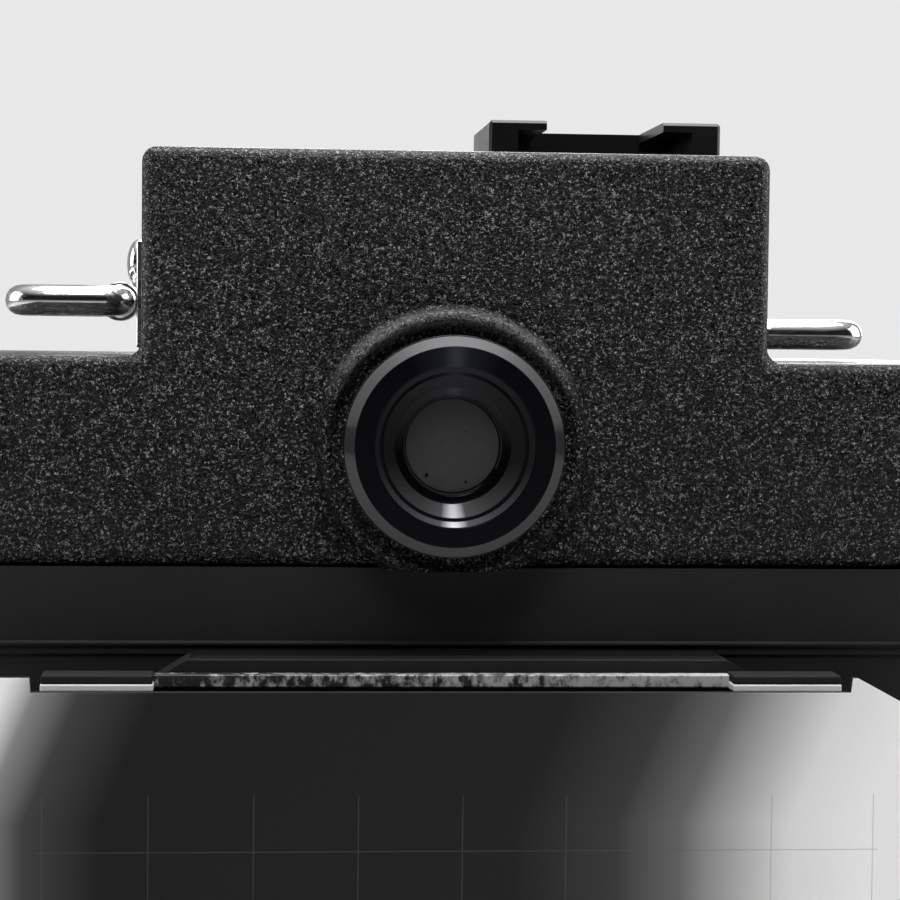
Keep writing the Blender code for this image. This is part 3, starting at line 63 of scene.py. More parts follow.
# Camera
VIEW_DISTANCE = 0.25
VIEW_WIDTH = 0.0878      # width of the picture at the eyepiece
SENSOR = 36.0
YAW = 4.6                # degrees that the viewer stands to the left
PITCH = 2.6              # degrees that the viewer stands above
ROLL = 0.65
AIM_RIGHT = -0.55 * MM
AIM_UP = -0.25 * MM
NEAREST = 0.005
FLOOR_REACH = 6.0        # from the middle to an edge

# Places read from the frame
RING_LOW, RING_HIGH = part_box("eyepiece_ring")
EYE = Vector(((RING_LOW.x + RING_HIGH.x) / 2, RING_LOW.y, (RING_LOW.z + RING_HIGH.z) / 2))
EYE_GLASS_LOW, EYE_GLASS_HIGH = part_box("eyepiece_lens")
EYE_GLASS_RADIUS = (EYE_GLASS_HIGH.x - EYE_GLASS_LOW.x) / 2
HOUSING_LOW, HOUSING_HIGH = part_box("rangefinder_housing")
HOUSING_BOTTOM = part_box("rangefinder_chassis")[0].z - GAP
HOUSING_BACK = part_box("back_frame")[0].y - GAP
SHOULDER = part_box("strap_lug_left")[0].z - 0.7 * MM
TOWER_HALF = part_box("strap_lug_right")[0].x - GAP
SCREEN_LOW, SCREEN_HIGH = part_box("ground_glass")
BACK_MIDDLE = (SCREEN_LOW.z + SCREEN_HIGH.z) / 2
SCREEN_TOP = SCREEN_HIGH.z + 2.9 * MM
BOARD_LOW, BOARD_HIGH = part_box("lens_board")
LENS_AXIS = (BOARD_LOW.z + BOARD_HIGH.z) / 2

# Sizes of the back, measured from its middle
PLATE_TOP = 47.75 * MM   # the revolving plate's top face starts here
BEAD = 48.55 * MM
BAR_INNER = 45.2 * MM
BAR_OUTER = 46.45 * MM
TAB_RIM = 45.25 * MM
TAB_TIP = 46.7 * MM

# Sizes of the bellows
BED_STRETCH = 58 * MM    # length of bellows that lies along the bed
FOLD = 1.45 * MM         # how far a pleat stands out or in from the middle of the skin
BOW = 0.5 * MM           # how far a long side bends at its middle


# Materials


class Finish:
    """A Principled material, and short calls that add procedural detail to it."""

    def __init__(self, name, colour, roughness, metallic=0.0, **sockets):
        self.material = bpy.data.materials.new(name)
        self.material.use_nodes = True
        self.tree = self.material.node_tree
        self.shader = self.tree.nodes["Principled BSDF"]
        self.put("Base Color", (*colour, 1.0))
        self.put("Roughness", roughness)
        self.put("Metallic", metallic)
        for socket, value in sockets.items():
            self.put(socket.replace("_", " "), value)
        self.place = self.node("ShaderNodeTexCoord").outputs["Object"]
        self.normal = None

    def put(self, socket, value):
        self.shader.inputs[socket].default_value = value

    def node(self, kind, **settings):
        made = self.tree.nodes.new(kind)
        for key, value in settings.items():
            setattr(made, key, value)
        return made

    def link(self, output, target):
        self.tree.links.new(output, target)

    def stretched(self, scale):
        mapping = self.node("ShaderNodeMapping")
        mapping.inputs["Scale"].default_value = scale
        self.link(self.place, mapping.inputs["Vector"])
        return mapping.outputs["Vector"]

    def split(self):
        """The place on the object as outputs X, Y and Z."""
        made = self.node("ShaderNodeSeparateXYZ")
        self.link(self.place, made.inputs[0])
        return made.outputs

    def radius(self, centre):
        """Distance from the line along Y through the centre."""
        offset = self.node("ShaderNodeVectorMath", operation="SUBTRACT")
        self.link(self.place, offset.inputs[0])
        offset.inputs[1].default_value = centre
        flat = self.node("ShaderNodeVectorMath", operation="MULTIPLY")
        self.link(offset.outputs[0], flat.inputs[0])
        flat.inputs[1].default_value = (1, 0, 1)
        length = self.node("ShaderNodeVectorMath", operation="LENGTH")
        self.link(flat.outputs[0], length.inputs[0])
        return length.outputs["Value"]

    def rings(self, centre):
        """A texture place that changes only with the radius, as on a part turned on a lathe."""
        made = self.node("ShaderNodeCombineXYZ")
        self.link(self.radius(centre), made.inputs[0])
        return made.outputs[0]

    def angle_round(self, centre, up):
        """The angle round the centre in radians, from 0 above it (up is 1) or below it (up is -1)."""
        place = self.split()
        rise = self.math("MULTIPLY", self.math("SUBTRACT", place["Z"], centre.z), up)
        side = self.math("SUBTRACT", place["X"], centre.x)
        return self.math("ABSOLUTE", self.math("ARCTAN2", side, rise))

    def noise(self, scale, detail=2.0, rough=0.5, where=None, distort=0.0):
        made = self.node("ShaderNodeTexNoise")
        made.inputs["Scale"].default_value = scale
        made.inputs["Detail"].default_value = detail
        made.inputs["Roughness"].default_value = rough
        made.inputs["Distortion"].default_value = distort
        self.link(where or self.place, made.inputs["Vector"])
        return made.outputs["Fac"]

    def cells(self, scale, where=None, feature="F1"):
        made = self.node("ShaderNodeTexVoronoi", feature=feature)
        made.inputs["Scale"].default_value = scale
        self.link(where or self.place, made.inputs["Vector"])
        return made.outputs["Distance"]

    def math(self, operation, a, b=0.0):
        made = self.node("ShaderNodeMath", operation=operation)
        for socket, value in zip(made.inputs, (a, b)):
            if isinstance(value, (int, float)):
                socket.default_value = value
            else:
                self.link(value, socket)
        return made.outputs[0]

    def ramp(self, fac, *stops):
        """Stops are (place, grey or colour)."""
        made = self.node("ShaderNodeValToRGB")
        elements = made.color_ramp.elements
        while len(elements) < len(stops):
            elements.new(0.5)
        for element, (where, colour) in zip(elements, stops):
            element.position = where
            grey = isinstance(colour, (int, float))
            element.color = (colour, colour, colour, 1) if grey else (*colour, 1)
        self.link(fac, made.inputs["Fac"])
        return made.outputs["Color"]

    def bump(self, height, distance, strength=1.0):
        """Bumps add up: each one starts from the normal that the one before it left."""
        made = self.node("ShaderNodeBump")
        made.inputs["Distance"].default_value = distance
        made.inputs["Strength"].default_value = strength
        self.link(height, made.inputs["Height"])
        if self.normal:
            self.link(self.normal, made.inputs["Normal"])
        self.normal = made.outputs["Normal"]
        self.link(self.normal, self.shader.inputs["Normal"])

    def colour(self, output):
        self.link(output, self.shader.inputs["Base Color"])

    def roughness(self, output):
        self.link(output, self.shader.inputs["Roughness"])

    def blend(self, fac, a, b):
        made = self.node("ShaderNodeMix", data_type="RGBA")
        self.link(fac, made.inputs["Factor"])
        for socket, value in zip((made.inputs[6], made.inputs[7]), (a, b)):
            if isinstance(value, tuple):
                socket.default_value = (*value, 1)
            else:
                self.link(value, socket)
        return made.outputs[2]


def crackle_lacquer(name="crackle_lacquer", collar=None):
    """Black lacquer that dried in tight wormlike grains about 0.3 mm across, with painted glints on some
    grains and painted shade in the troughs.

    Given the middle of a collar, the upper half of its crest gets a painted highlight of grey as well.
    """
    finish = Finish(name, (0.006, 0.006, 0.0065), 0.3, Specular_IOR_Level=0.15)
    worms = finish.noise(3700, 1.5, 0.55, distort=0.8)
    finish.bump(finish.ramp(worms, (0.36, 0.0), (0.47, 0.35), (0.56, 1.0)), 0.22 * MM, 0.8)
    # Painted highlight: glint is a thin band of each grain painted bright, kept on a sparse scattering of
    # grains.
    crest = finish.ramp(worms, (0.52, 0.0), (0.545, 1.0), (0.57, 1.0), (0.60, 0.0))
    sparse = finish.noise(2700, 2.0, 0.6, finish.stretched((1.0, 1.0, 1.3)))
    glint = finish.math("MULTIPLY", crest, finish.ramp(sparse, (0.49, 0.0), (0.60, 1.0)))
    # The base colour is darker in the troughs of the grains, as painted shade, and lighter on their tops.
    base = finish.ramp(worms, (0.40, (0.001, 0.001, 0.0012)), (0.60, (0.009, 0.009, 0.0095)))
    if collar:
        # The upper half of the crest is painted lighter grey: a painted highlight.
        up = finish.math("SUBTRACT", finish.split()["Z"], collar.z)
        high = finish.ramp(finish.math("MULTIPLY", up, 1 / (10 * MM)), (0.45, 0.0), (1.0, 1.0))
        out = finish.math("MULTIPLY", finish.radius(collar), 1 / (20 * MM))
        ring = finish.ramp(out, (0.58, 0.0), (0.615, 1.0), (0.665, 1.0), (0.70, 0.0))
        grain = finish.ramp(worms, (0.36, 0.25), (0.55, 1.0))
        crest_highlight = finish.math("MULTIPLY", finish.math("MULTIPLY", ring, high), grain)
        base = finish.blend(crest_highlight, base, (0.14, 0.14, 0.14))
    finish.colour(finish.blend(glint, base, (0.40, 0.40, 0.39)))
    finish.roughness(finish.ramp(finish.noise(260, 3.0, 0.6), (0.35, 0.22), (0.65, 0.34)))
    return finish.material


def satin_enamel():
    finish = Finish("satin_enamel", (0.006, 0.006, 0.0065), 0.36, Specular_IOR_Level=0.32)
    cloud = finish.noise(90, 2.0, 0.5)
    finish.bump(finish.noise(1400, 2.0), 0.02 * MM, 0.5)
    finish.colour(finish.ramp(cloud, (0.3, (0.0045, 0.0045, 0.005)), (0.75, (0.0065, 0.0065, 0.007))))
    streaks = finish.noise(900, 3.0, 0.7, finish.stretched((0.05, 1.0, 1.0)))
    scratches = finish.math("MULTIPLY", finish.ramp(streaks, (0.60, 0.0), (0.66, 1.0)), 0.08)
    finish.roughness(finish.math("SUBTRACT", finish.ramp(cloud, (0.3, 0.34), (0.7, 0.40)), scratches))
    return finish.material


def matte_enamel(name="matte_enamel", painted_shade_above=None):
    finish = Finish(name, (0.015, 0.015, 0.016), 0.7, Specular_IOR_Level=0.1)
    cloud = finish.noise(120, 3.0, 0.6)
    finish.bump(finish.noise(2600, 2.0), 0.03 * MM, 0.5)
    base = finish.ramp(cloud, (0.3, (0.017, 0.017, 0.018)), (0.75, (0.021, 0.021, 0.022)))
    # Above this height the colour is painted nearly black, as painted shade.
    if painted_shade_above:
        high = finish.math("GREATER_THAN", finish.split()["Z"], painted_shade_above)
        base = finish.blend(high, base, (0.003, 0.003, 0.003))
    finish.colour(base)
    return finish.material


def worn_paint():
    """Black paint over bright metal, rubbed through in short streaks, more of them to the right."""
    finish = Finish("worn_paint", (0.03, 0.03, 0.03), 0.35, Specular_IOR_Level=0.3)
    streaks = finish.noise(1500, 4.0, 0.75, finish.stretched((0.8, 1.0, 0.5)))
    broad = finish.math("MULTIPLY", finish.noise(60, 3.0, 0.7, finish.stretched((1.0, 0.0, 0.0))), 0.35)
    to_right = finish.math("MULTIPLY", finish.split()["X"], 3.2)
    amount = finish.math("ADD", finish.math("ADD", streaks, broad), to_right)
    rubbed = finish.ramp(amount, (0.60, 0.0), (0.76, 1.0))
    finish.colour(finish.blend(rubbed, (0.028, 0.028, 0.029), (0.50, 0.49, 0.485)))
    finish.roughness(finish.ramp(streaks, (0.3, 0.25), (0.7, 0.45)))
    return finish.material


def turned_marks(name, colour, metallic, depth):
    """A part of the lens turned on a lathe, with rings of fine tool marks of this depth."""
    rough = 0.28
    finish = Finish(name, colour, rough, metallic)
    marks = finish.noise(5200, 3.0, 0.6, finish.rings((0, 0, LENS_AXIS)))
    finish.bump(marks, depth, 0.6)
    finish.roughness(finish.ramp(marks, (0.3, rough * 0.75), (0.7, rough * 1.3)))
    dark = tuple(part * 0.82 for part in colour)
    finish.colour(finish.ramp(finish.noise(220, 3.0), (0.3, dark), (0.7, colour)))
    return finish.material


def ring_chamfer_finish():
    """Satin grey with painted highlights above and below, and painted shade at its two sides."""
    finish = Finish("ring_chamfer", (0.06, 0.06, 0.062), 0.42, Specular_IOR_Level=0.22)
    # The grey is painted light and shade: darker the nearer a point lies to the level of the middle.
    up = finish.math("SUBTRACT", finish.split()["Z"], EYE.z + 0.6 * MM)
    away = finish.math("MULTIPLY", finish.math("ABSOLUTE", up), 1 / (10 * MM))
    mottle = finish.math("MULTIPLY", finish.noise(420, 3.0, 0.6), 0.14)
    finish.colour(finish.ramp(
        finish.math("ADD", away, mottle),
        (0.17, (0.018, 0.018, 0.019)), (0.25, (0.060, 0.060, 0.062)), (1.0, (0.080, 0.080, 0.084)),
    ))
    finish.bump(finish.noise(5200, 3.0), 0.003 * MM, 0.5)
    return finish.material


def ring_cone_finish():
    """Turned black, with a painted highlight at the bottom of the bowl."""
    finish = Finish("ring_cone", (0.012, 0.012, 0.013), 0.3, Specular_IOR_Level=0.25)
    angle = finish.angle_round(EYE, -1)
    # broad and streak paint the highlight into the colour: brightest at the bottom of the bowl, dark part
    # way round.
    broad = finish.ramp(
        finish.math("MULTIPLY", angle, 1 / math.pi),
        (0.0, (0.10, 0.10, 0.105)), (0.16, (0.048, 0.047, 0.050)), (0.42, (0.013, 0.013, 0.014)),
        (0.8, (0.020, 0.020, 0.022)), (1.0, (0.026, 0.026, 0.030)),
    )
    streak = finish.ramp(angle, (0.03, 0.95), (0.18, 0.0))
    finish.colour(finish.blend(streak, broad, (0.75, 0.75, 0.80)))
    finish.bump(finish.noise(3800, 2.0, 0.5, finish.rings(EYE)), 0.0006 * MM, 0.5)
    return finish.material


def ring_face_finish():
    """Glossy black with one cool painted highlight streak at the top."""
    finish = Finish("ring_face", (0.002, 0.002, 0.003), 0.16, Specular_IOR_Level=0.13)
    # The colour paints the highlight: a cool streak at the top, fading to black round the sides.
    finish.colour(finish.ramp(
        finish.angle_round(EYE, 1),
        (0.02, (0.030, 0.032, 0.042)), (0.15, (0.010, 0.011, 0.015)), (0.5, (0.002, 0.002, 0.003)),
    ))
    finish.bump(finish.noise(5200, 2.0), 0.001 * MM, 0.4)
    return finish.material


def chrome():
    finish = Finish("worn_chrome", (0.78, 0.78, 0.79), 0.12, 1.0)
    cloud = finish.noise(240, 4.0, 0.6)
    streaks = finish.noise(2200, 3.0, 0.7, finish.stretched((0.06, 1.0, 1.0)))
    scratch = finish.ramp(streaks, (0.55, 0), (0.68, 1))
    haze = finish.ramp(cloud, (0.4, 0.07), (0.75, 0.22))
    finish.roughness(finish.math("ADD", haze, finish.math("MULTIPLY", scratch, 0.16)))
    finish.bump(scratch, 0.004 * MM, 0.4)
    finish.colour(finish.ramp(cloud, (0.35, (0.80, 0.80, 0.81)), (0.8, (0.62, 0.61, 0.60))))
    return finish.material


def brushed_metal(name, colour, along):
    """The grain runs along the axis whose scale is small."""
    finish = Finish(name, colour, 0.3, 1.0)
    grain = finish.noise(2600, 3.0, 0.7, finish.stretched(along))
    finish.bump(grain, 0.008 * MM, 0.5)
    finish.roughness(finish.ramp(grain, (0.3, 0.22), (0.7, 0.42)))
    dark = tuple(part * 0.78 for part in colour)
    finish.colour(finish.ramp(finish.noise(150, 4.0, 0.6), (0.3, dark), (0.7, colour)))
    return finish.material


def leatherette():
    """Pebbled black covering: cells whose places are shaken by noise, so that no two are alike."""
    finish = Finish("leatherette", (0.020, 0.019, 0.018), 0.5, Specular_IOR_Level=0.4)
    noise = finish.node("ShaderNodeTexNoise")
    noise.inputs["Scale"].default_value = 900
    finish.link(finish.place, noise.inputs["Vector"])
    shake = finish.node("ShaderNodeVectorMath", operation="SCALE")
    finish.link(noise.outputs["Color"], shake.inputs[0])
    shake.inputs["Scale"].default_value = 0.7 * MM
    shaken = finish.node("ShaderNodeVectorMath", operation="ADD")
    finish.link(finish.place, shaken.inputs[0])
    finish.link(shake.outputs[0], shaken.inputs[1])
    pebbles = finish.cells(1050, shaken.outputs[0])
    finish.bump(finish.ramp(pebbles, (0.0, 1.0), (0.62, 0.0)), 0.18 * MM, 0.9)
    finish.bump(finish.noise(5200, 3.0), 0.02 * MM, 0.6)
    # The pebbles are painted darker in the crevices between them, as painted shade, and lighter on their
    # tops.
    finish.colour(finish.ramp(pebbles, (0.1, (0.024, 0.022, 0.021)), (0.6, (0.010, 0.009, 0.009))))
    finish.roughness(finish.ramp(finish.noise(700, 2.0), (0.3, 0.40), (0.7, 0.58)))
    return finish.material


def bellows_cloth():
    finish = Finish("bellows_cloth", (0.022, 0.021, 0.020), 0.62, Specular_IOR_Level=0.35)
    grain = finish.noise(2300, 3.0, 0.65)
    creases = finish.cells(420, feature="DISTANCE_TO_EDGE")
    finish.bump(finish.ramp(creases, (0.0, 0.0), (0.05, 1.0)), 0.05 * MM, 0.35)
    finish.bump(grain, 0.05 * MM, 0.6)
    cloud = finish.noise(90, 4.0, 0.6)
    finish.colour(finish.ramp(cloud, (0.3, (0.014, 0.013, 0.013)), (0.7, (0.027, 0.026, 0.025))))
    finish.roughness(finish.ramp(grain, (0.3, 0.5), (0.7, 0.72)))
    return finish.material


def ground_screen():
    """Ground glass: pale at both sides and darkened across the middle by painted shade, with faint etched
    guide lines.
    """
    finish = Finish("ground_screen", (0.3, 0.3, 0.3), 0.5, Specular_IOR_Level=0.1)
    place = finish.split()
    above = finish.math("SUBTRACT", place["Z"], BACK_MIDDLE)
    drop = finish.math("MINIMUM", finish.math("SUBTRACT", SCREEN_TOP, place["Z"]), 14 * MM)
    slant = finish.math("ADD", place["X"], finish.math("MULTIPLY", drop, 0.42))
    across = finish.math("ADD", finish.math("MULTIPLY", slant, 1 / (90 * MM)), 0.5)
    # tone is painted shade: a dark band across the middle with slanted edges, pale at both sides.
    tone = finish.ramp(
        across, (0.020, 0.90), (0.055, 0.25), (0.10, 0.055), (0.18, 0.013), (0.62, 0.015),
        (0.73, 0.045), (0.80, 0.14), (0.86, 0.42), (0.92, 0.76), (1.0, 0.90),
    )
    pitch, line, half_wide, half_high = 5 * MM, 0.05 * MM, 40.5 * MM, 35.5 * MM
    upright = finish.math("LESS_THAN", finish.math("PINGPONG", place["X"], pitch), line)
    level = finish.math("LESS_THAN", finish.math("PINGPONG", above, pitch), line)
    inside = finish.math(
        "MULTIPLY",
        finish.math("LESS_THAN", finish.math("ABSOLUTE", place["X"]), half_wide),
        finish.math("LESS_THAN", finish.math("ABSOLUTE", above), half_high),
    )
    grid = finish.math("MULTIPLY", finish.math("MAXIMUM", upright, level), inside)
    finish.colour(finish.blend(finish.math("MULTIPLY", grid, 0.35), tone, (0.10, 0.10, 0.105)))
    finish.bump(finish.noise(9000, 2.0), 0.003 * MM, 0.4)
    return finish.material


def clear_glass(name, tint):
    finish = Finish(name, tint, 0.03, Transmission_Weight=0.92, IOR=1.52)
    finish.put("Coat Weight", 0.6)
    finish.put("Coat Roughness", 0.02)
    finish.roughness(finish.ramp(finish.noise(120, 3.0), (0.4, 0.02), (0.8, 0.08)))
    return finish.material


def dusty_glass():
    """The eyepiece glass: dark behind, with a few specks of dirt."""
    finish = Finish("eyepiece_glass", (0.036, 0.036, 0.038), 0.4, Specular_IOR_Level=0.06)
    cloud = finish.noise(1300, 3.0, 0.6)
    spots = finish.math("LESS_THAN", finish.cells(560), 0.105)
    speck = finish.math("MULTIPLY", spots, finish.ramp(finish.noise(330, 1.0), (0.36, 0.0), (0.39, 1.0)))
    base = finish.ramp(cloud, (0.3, (0.048, 0.048, 0.050)), (0.7, (0.054, 0.054, 0.056)))
    finish.colour(finish.blend(speck, base, (0.002, 0.002, 0.002)))
    finish.roughness(finish.math("ADD", finish.math("MULTIPLY", speck, 0.4), 0.4))
    return finish.material


def plain_floor():
    finish = Finish("floor", (0.5, 0.5, 0.5), 0.7)
    finish.colour(finish.ramp(finish.noise(3, 2.0), (0.3, (0.50, 0.50, 0.50)), (0.7, (0.52, 0.52, 0.52))))
    return finish.material


CRACKLE = crackle_lacquer()
COLLAR = crackle_lacquer("crackle_collar", EYE)
ENAMEL = satin_enamel()
MATTE = matte_enamel()
# The revolving plate's top face is painted darker, as painted shade.
PLATE = matte_enamel("plate_enamel", BACK_MIDDLE + PLATE_TOP)
WORN = worn_paint()
CHROME = chrome()
STEEL = brushed_metal("brushed_steel", (0.52, 0.52, 0.53), (1.0, 0.04, 1.0))
STEEL_UPRIGHT = brushed_metal("brushed_steel_upright", (0.50, 0.50, 0.51), (1.0, 1.0, 0.04))
BRASS = brushed_metal("machined_brass", (0.58, 0.43, 0.19), (1.0, 0.04, 1.0))
KNOB_ALLOY = brushed_metal("knob_alloy", (0.64, 0.64, 0.65), (0.05, 1.0, 1.0))
LENS_BLACK = turned_marks("lens_black", (0.018, 0.018, 0.020), 0.0, 0.006 * MM)
LENS_ALLOY = turned_marks("lens_alloy", (0.60, 0.60, 0.61), 1.0, 0.008 * MM)
LEATHER = leatherette()
CLOTH = bellows_cloth()
SCREEN = ground_screen()
WINDOW = clear_glass("window_glass", (0.80, 0.84, 0.86))
COATED = clear_glass("coated_lens", (0.62, 0.70, 0.86))
EYE_GLASS = dusty_glass()
RING_FACE = ring_face_finish()
RING_CHAMFER = ring_chamfer_finish()
RING_CONE = ring_cone_finish()
WHITE_FILL = Finish("engraving_white", (0.75, 0.75, 0.73), 0.6).material
RED_FILL = Finish("engraving_red", (0.45, 0.03, 0.02), 0.6).material
# A pale paint on the tabs' lips: a painted highlight.
LIP_HIGHLIGHT = Finish("painted_lip_highlight", (0.80, 0.81, 0.83), 0.4).material


# Shapes


def add(name, mesh, finish, body=None, node=None):
    """A new piece, with the body that it rides on and the CAD node that it stands for."""
    obj = bpy.data.objects.new(name, mesh)
    bpy.context.scene.collection.objects.link(obj)
    mesh.materials.append(finish)
    if body:
        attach(obj, body)
    if node:
        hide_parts(node)
    return obj


def smooth(obj, angle=35):
    obj.data.shade_smooth()
    obj.data.set_sharp_from_angle(angle=math.radians(angle))
    return obj


def rounded(obj, width, segments=3, angle=35):
    bevel = obj.modifiers.new("rounding", "BEVEL")
    bevel.width = width
    bevel.segments = segments
    bevel.limit_method = "ANGLE"
    bevel.angle_limit = math.radians(angle)
    bevel.harden_normals = True
    return obj


def from_shape(name, shape):
    mesh = bpy.data.meshes.new(name)
    bmesh.ops.recalc_face_normals(shape, faces=shape.faces)
    shape.to_mesh(mesh)
    shape.free()
    return mesh


def put_box(shape, middle, size):
    """Adds a box to a shape, and gives its corners."""
    made = bmesh.ops.create_cube(shape, size=1.0)["verts"]
    bmesh.ops.scale(shape, vec=size, verts=made)
    bmesh.ops.translate(shape, vec=middle, verts=made)
    return made


def box_mesh(name, low, high):
    low, high = Vector(low), Vector(high)
    shape = bmesh.new()
    put_box(shape, (low + high) / 2, high - low)
    return from_shape(name, shape)


def block(name, low, high, finish, body, edge, node=None):
    return rounded(smooth(add(name, box_mesh(name, low, high), finish, body, node)), edge)


AXES = {
    "X": Matrix(((0, 0, 1), (1, 0, 0), (0, 1, 0))),
    "-X": Matrix(((0, 0, -1), (-1, 0, 0), (0, 1, 0))),
    "Y": Matrix(((0, 1, 0), (0, 0, 1), (1, 0, 0))),
    "-Y": Matrix(((0, -1, 0), (0, 0, -1), (1, 0, 0))),
}


def sideways(side):
    return "X" if side > 0 else "-X"


def turned_mesh(name, centre, axis, profile, steps=96):
    """Turns a profile of (radius, height) round the axis; it is a closed ring when no end is on the axis."""
    shape = bmesh.new()
    turn = AXES[axis]
    rings = []
    for radius, height in profile:
        if radius < 1e-7:
            rings.append([shape.verts.new(Vector(centre) + turn @ Vector((0, 0, height)))])
            continue
        ring = []
        for i in range(steps):
            angle = 2 * math.pi * i / steps
            point = Vector((radius * math.cos(angle), radius * math.sin(angle), height))
            ring.append(shape.verts.new(Vector(centre) + turn @ point))
        rings.append(ring)
    pairs = list(zip(rings, rings[1:]))
    if len(rings[0]) > 1 and len(rings[-1]) > 1:
        pairs.append((rings[-1], rings[0]))
    for first, second in pairs:
        for i in range(steps):
            j = (i + 1) % steps
            corners = [first[i % len(first)], first[j % len(first)], second[j % len(second)],
                       second[i % len(second)]]
            unique = list(dict.fromkeys(corners))
            if len(unique) > 2:
                shape.faces.new(unique)
    return from_shape(name, shape)


def turned(name, centre, axis, profile, finish, body, node=None, steps=96, edge=0.0):
    obj = smooth(add(name, turned_mesh(name, centre, axis, profile, steps), finish, body, node), 25)
    if edge:
        rounded(obj, edge, 2, 25)
    return obj


def plate_mesh(name, outline, low, high, axis="Y"):
    """A plate of this outline between two places along the axis."""
    shape = bmesh.new()
    spread = {
        "X": lambda u, v, along: Vector((along, u, v)),
        "Y": lambda u, v, along: Vector((u, along, v)),
    }[axis]
    bottom = [shape.verts.new(spread(u, v, low)) for u, v in outline]
    top = [shape.verts.new(spread(u, v, high)) for u, v in outline]
    shape.faces.new(bottom)
    shape.faces.new(top)
    for i in range(len(outline)):
        j = (i + 1) % len(outline)
        shape.faces.new((bottom[i], bottom[j], top[j], top[i]))
    return from_shape(name, shape)


def evaluated(obj):
    """A new mesh of the object with its modifiers or curve settings applied."""
    bpy.context.view_layer.update()
    graph = bpy.context.evaluated_depsgraph_get()
    return bpy.data.meshes.new_from_object(obj.evaluated_get(graph))


def cut(obj, *meshes):
    cutters = []
    for mesh in meshes:
        cutter = bpy.data.objects.new("cutter", mesh)
        bpy.context.scene.collection.objects.link(cutter)
        cutters.append(cutter)
        modifier = obj.modifiers.new("cut", "BOOLEAN")
        modifier.operation = "DIFFERENCE"
        modifier.object = cutter
        modifier.solver = "EXACT"
    mesh = evaluated(obj)
    obj.modifiers.clear()
    obj.data = mesh
    for cutter in cutters:
        bpy.data.objects.remove(cutter)
    return obj


def tube(name, points, radius, finish, body, node, closed=False, sides=20):
    """A round wire along points, as a mesh."""
    curve = bpy.data.curves.new(name, "CURVE")
    curve.dimensions = "3D"
    curve.bevel_depth = radius
    curve.bevel_resolution = sides // 4
    curve.use_fill_caps = not closed
    spline = curve.splines.new("POLY")
    spline.points.add(len(points) - 1)
    for point, where in zip(spline.points, points):
        point.co = (*where, 1)
    spline.use_cyclic_u = closed
    guide = bpy.data.objects.new(name + "_guide", curve)
    bpy.context.scene.collection.objects.link(guide)
    mesh = evaluated(guide)
    bpy.data.objects.remove(guide)
    return smooth(add(name, mesh, finish, body, node), 50)


def screw(name, centre, axis, radius, finish, body, slot_angle):
    """A slotted screw head that stands on a face."""
    height = radius * 0.42
    rim = height * 0.45
    sunk = -0.1 * MM
    profile = [(0, sunk), (radius, sunk), (radius, rim)]
    for i in range(1, 5):
        angle = math.radians(22 * i)
        profile.append((radius * math.cos(angle * 0.98), rim + (height - rim) * math.sin(angle)))
    profile.append((0, height))
    obj = smooth(add(name, turned_mesh(name, centre, axis, profile, 32), finish))
    shape = bmesh.new()
    put_box(shape, (0, 0, 0), (radius * 3, radius * 0.22, height))
    bmesh.ops.rotate(
        shape, cent=(0, 0, 0), matrix=Matrix.Rotation(slot_angle, 3, "Z"), verts=shape.verts
    )
    for vertex in shape.verts:
        vertex.co = Vector(centre) + AXES[axis] @ (vertex.co + Vector((0, 0, height)))
    cut(obj, from_shape("screw_slot", shape))
    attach(obj, body)
    smooth(obj)


# Finder housing


def drill(centre, radius, half_depth, steps):
    profile = [(0, -half_depth), (radius, -half_depth), (radius, half_depth), (0, half_depth)]
    return turned_mesh("drill", centre, "Y", profile, steps)


def finder_housing():
    """A low box with a tower on it, hollow, open below and drilled for the eyepiece and the windows."""
    wide, front, top = HOUSING_HIGH
    right = [(wide, HOUSING_BOTTOM), (wide, SHOULDER), (TOWER_HALF, SHOULDER), (TOWER_HALF, top)]
    outline = right + [(-x, z) for x, z in reversed(right)]
    mesh = plate_mesh("finder_housing", outline, HOUSING_BACK, front)
    obj = add("finder_housing", mesh, CRACKLE)
    rounded(obj, 1.5 * MM, 5)
    wall = 2 * MM
    holes = [
        box_mesh("room", (-half + wall, HOUSING_BACK + wall, HOUSING_BOTTOM - wall),
                 (half - wall, front - wall, ceiling - wall))
        for half, ceiling in ((wide, SHOULDER), (TOWER_HALF, top))
    ]
    low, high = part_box("viewfinder_window")
    holes.append(box_mesh("tower_window", (low.x - GAP, front - 2 * wall, low.z - GAP),
                          (high.x + GAP, front + 2 * wall, high.z + GAP)))
    holes.append(drill((EYE.x, HOUSING_BACK, EYE.z), 11 * MM, 2 * wall, 64))
    for node in ("finder_objective", "rangefinder_window"):
        low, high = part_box(node)
        centre = (low + high) / 2
        holes.append(drill((centre.x, front, centre.z), (high.x - low.x) / 2 + GAP, 5 * MM, 48))
    cut(obj, *holes)
    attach(obj, "body")
    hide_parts("rangefinder_housing")
    smooth(obj, 30)


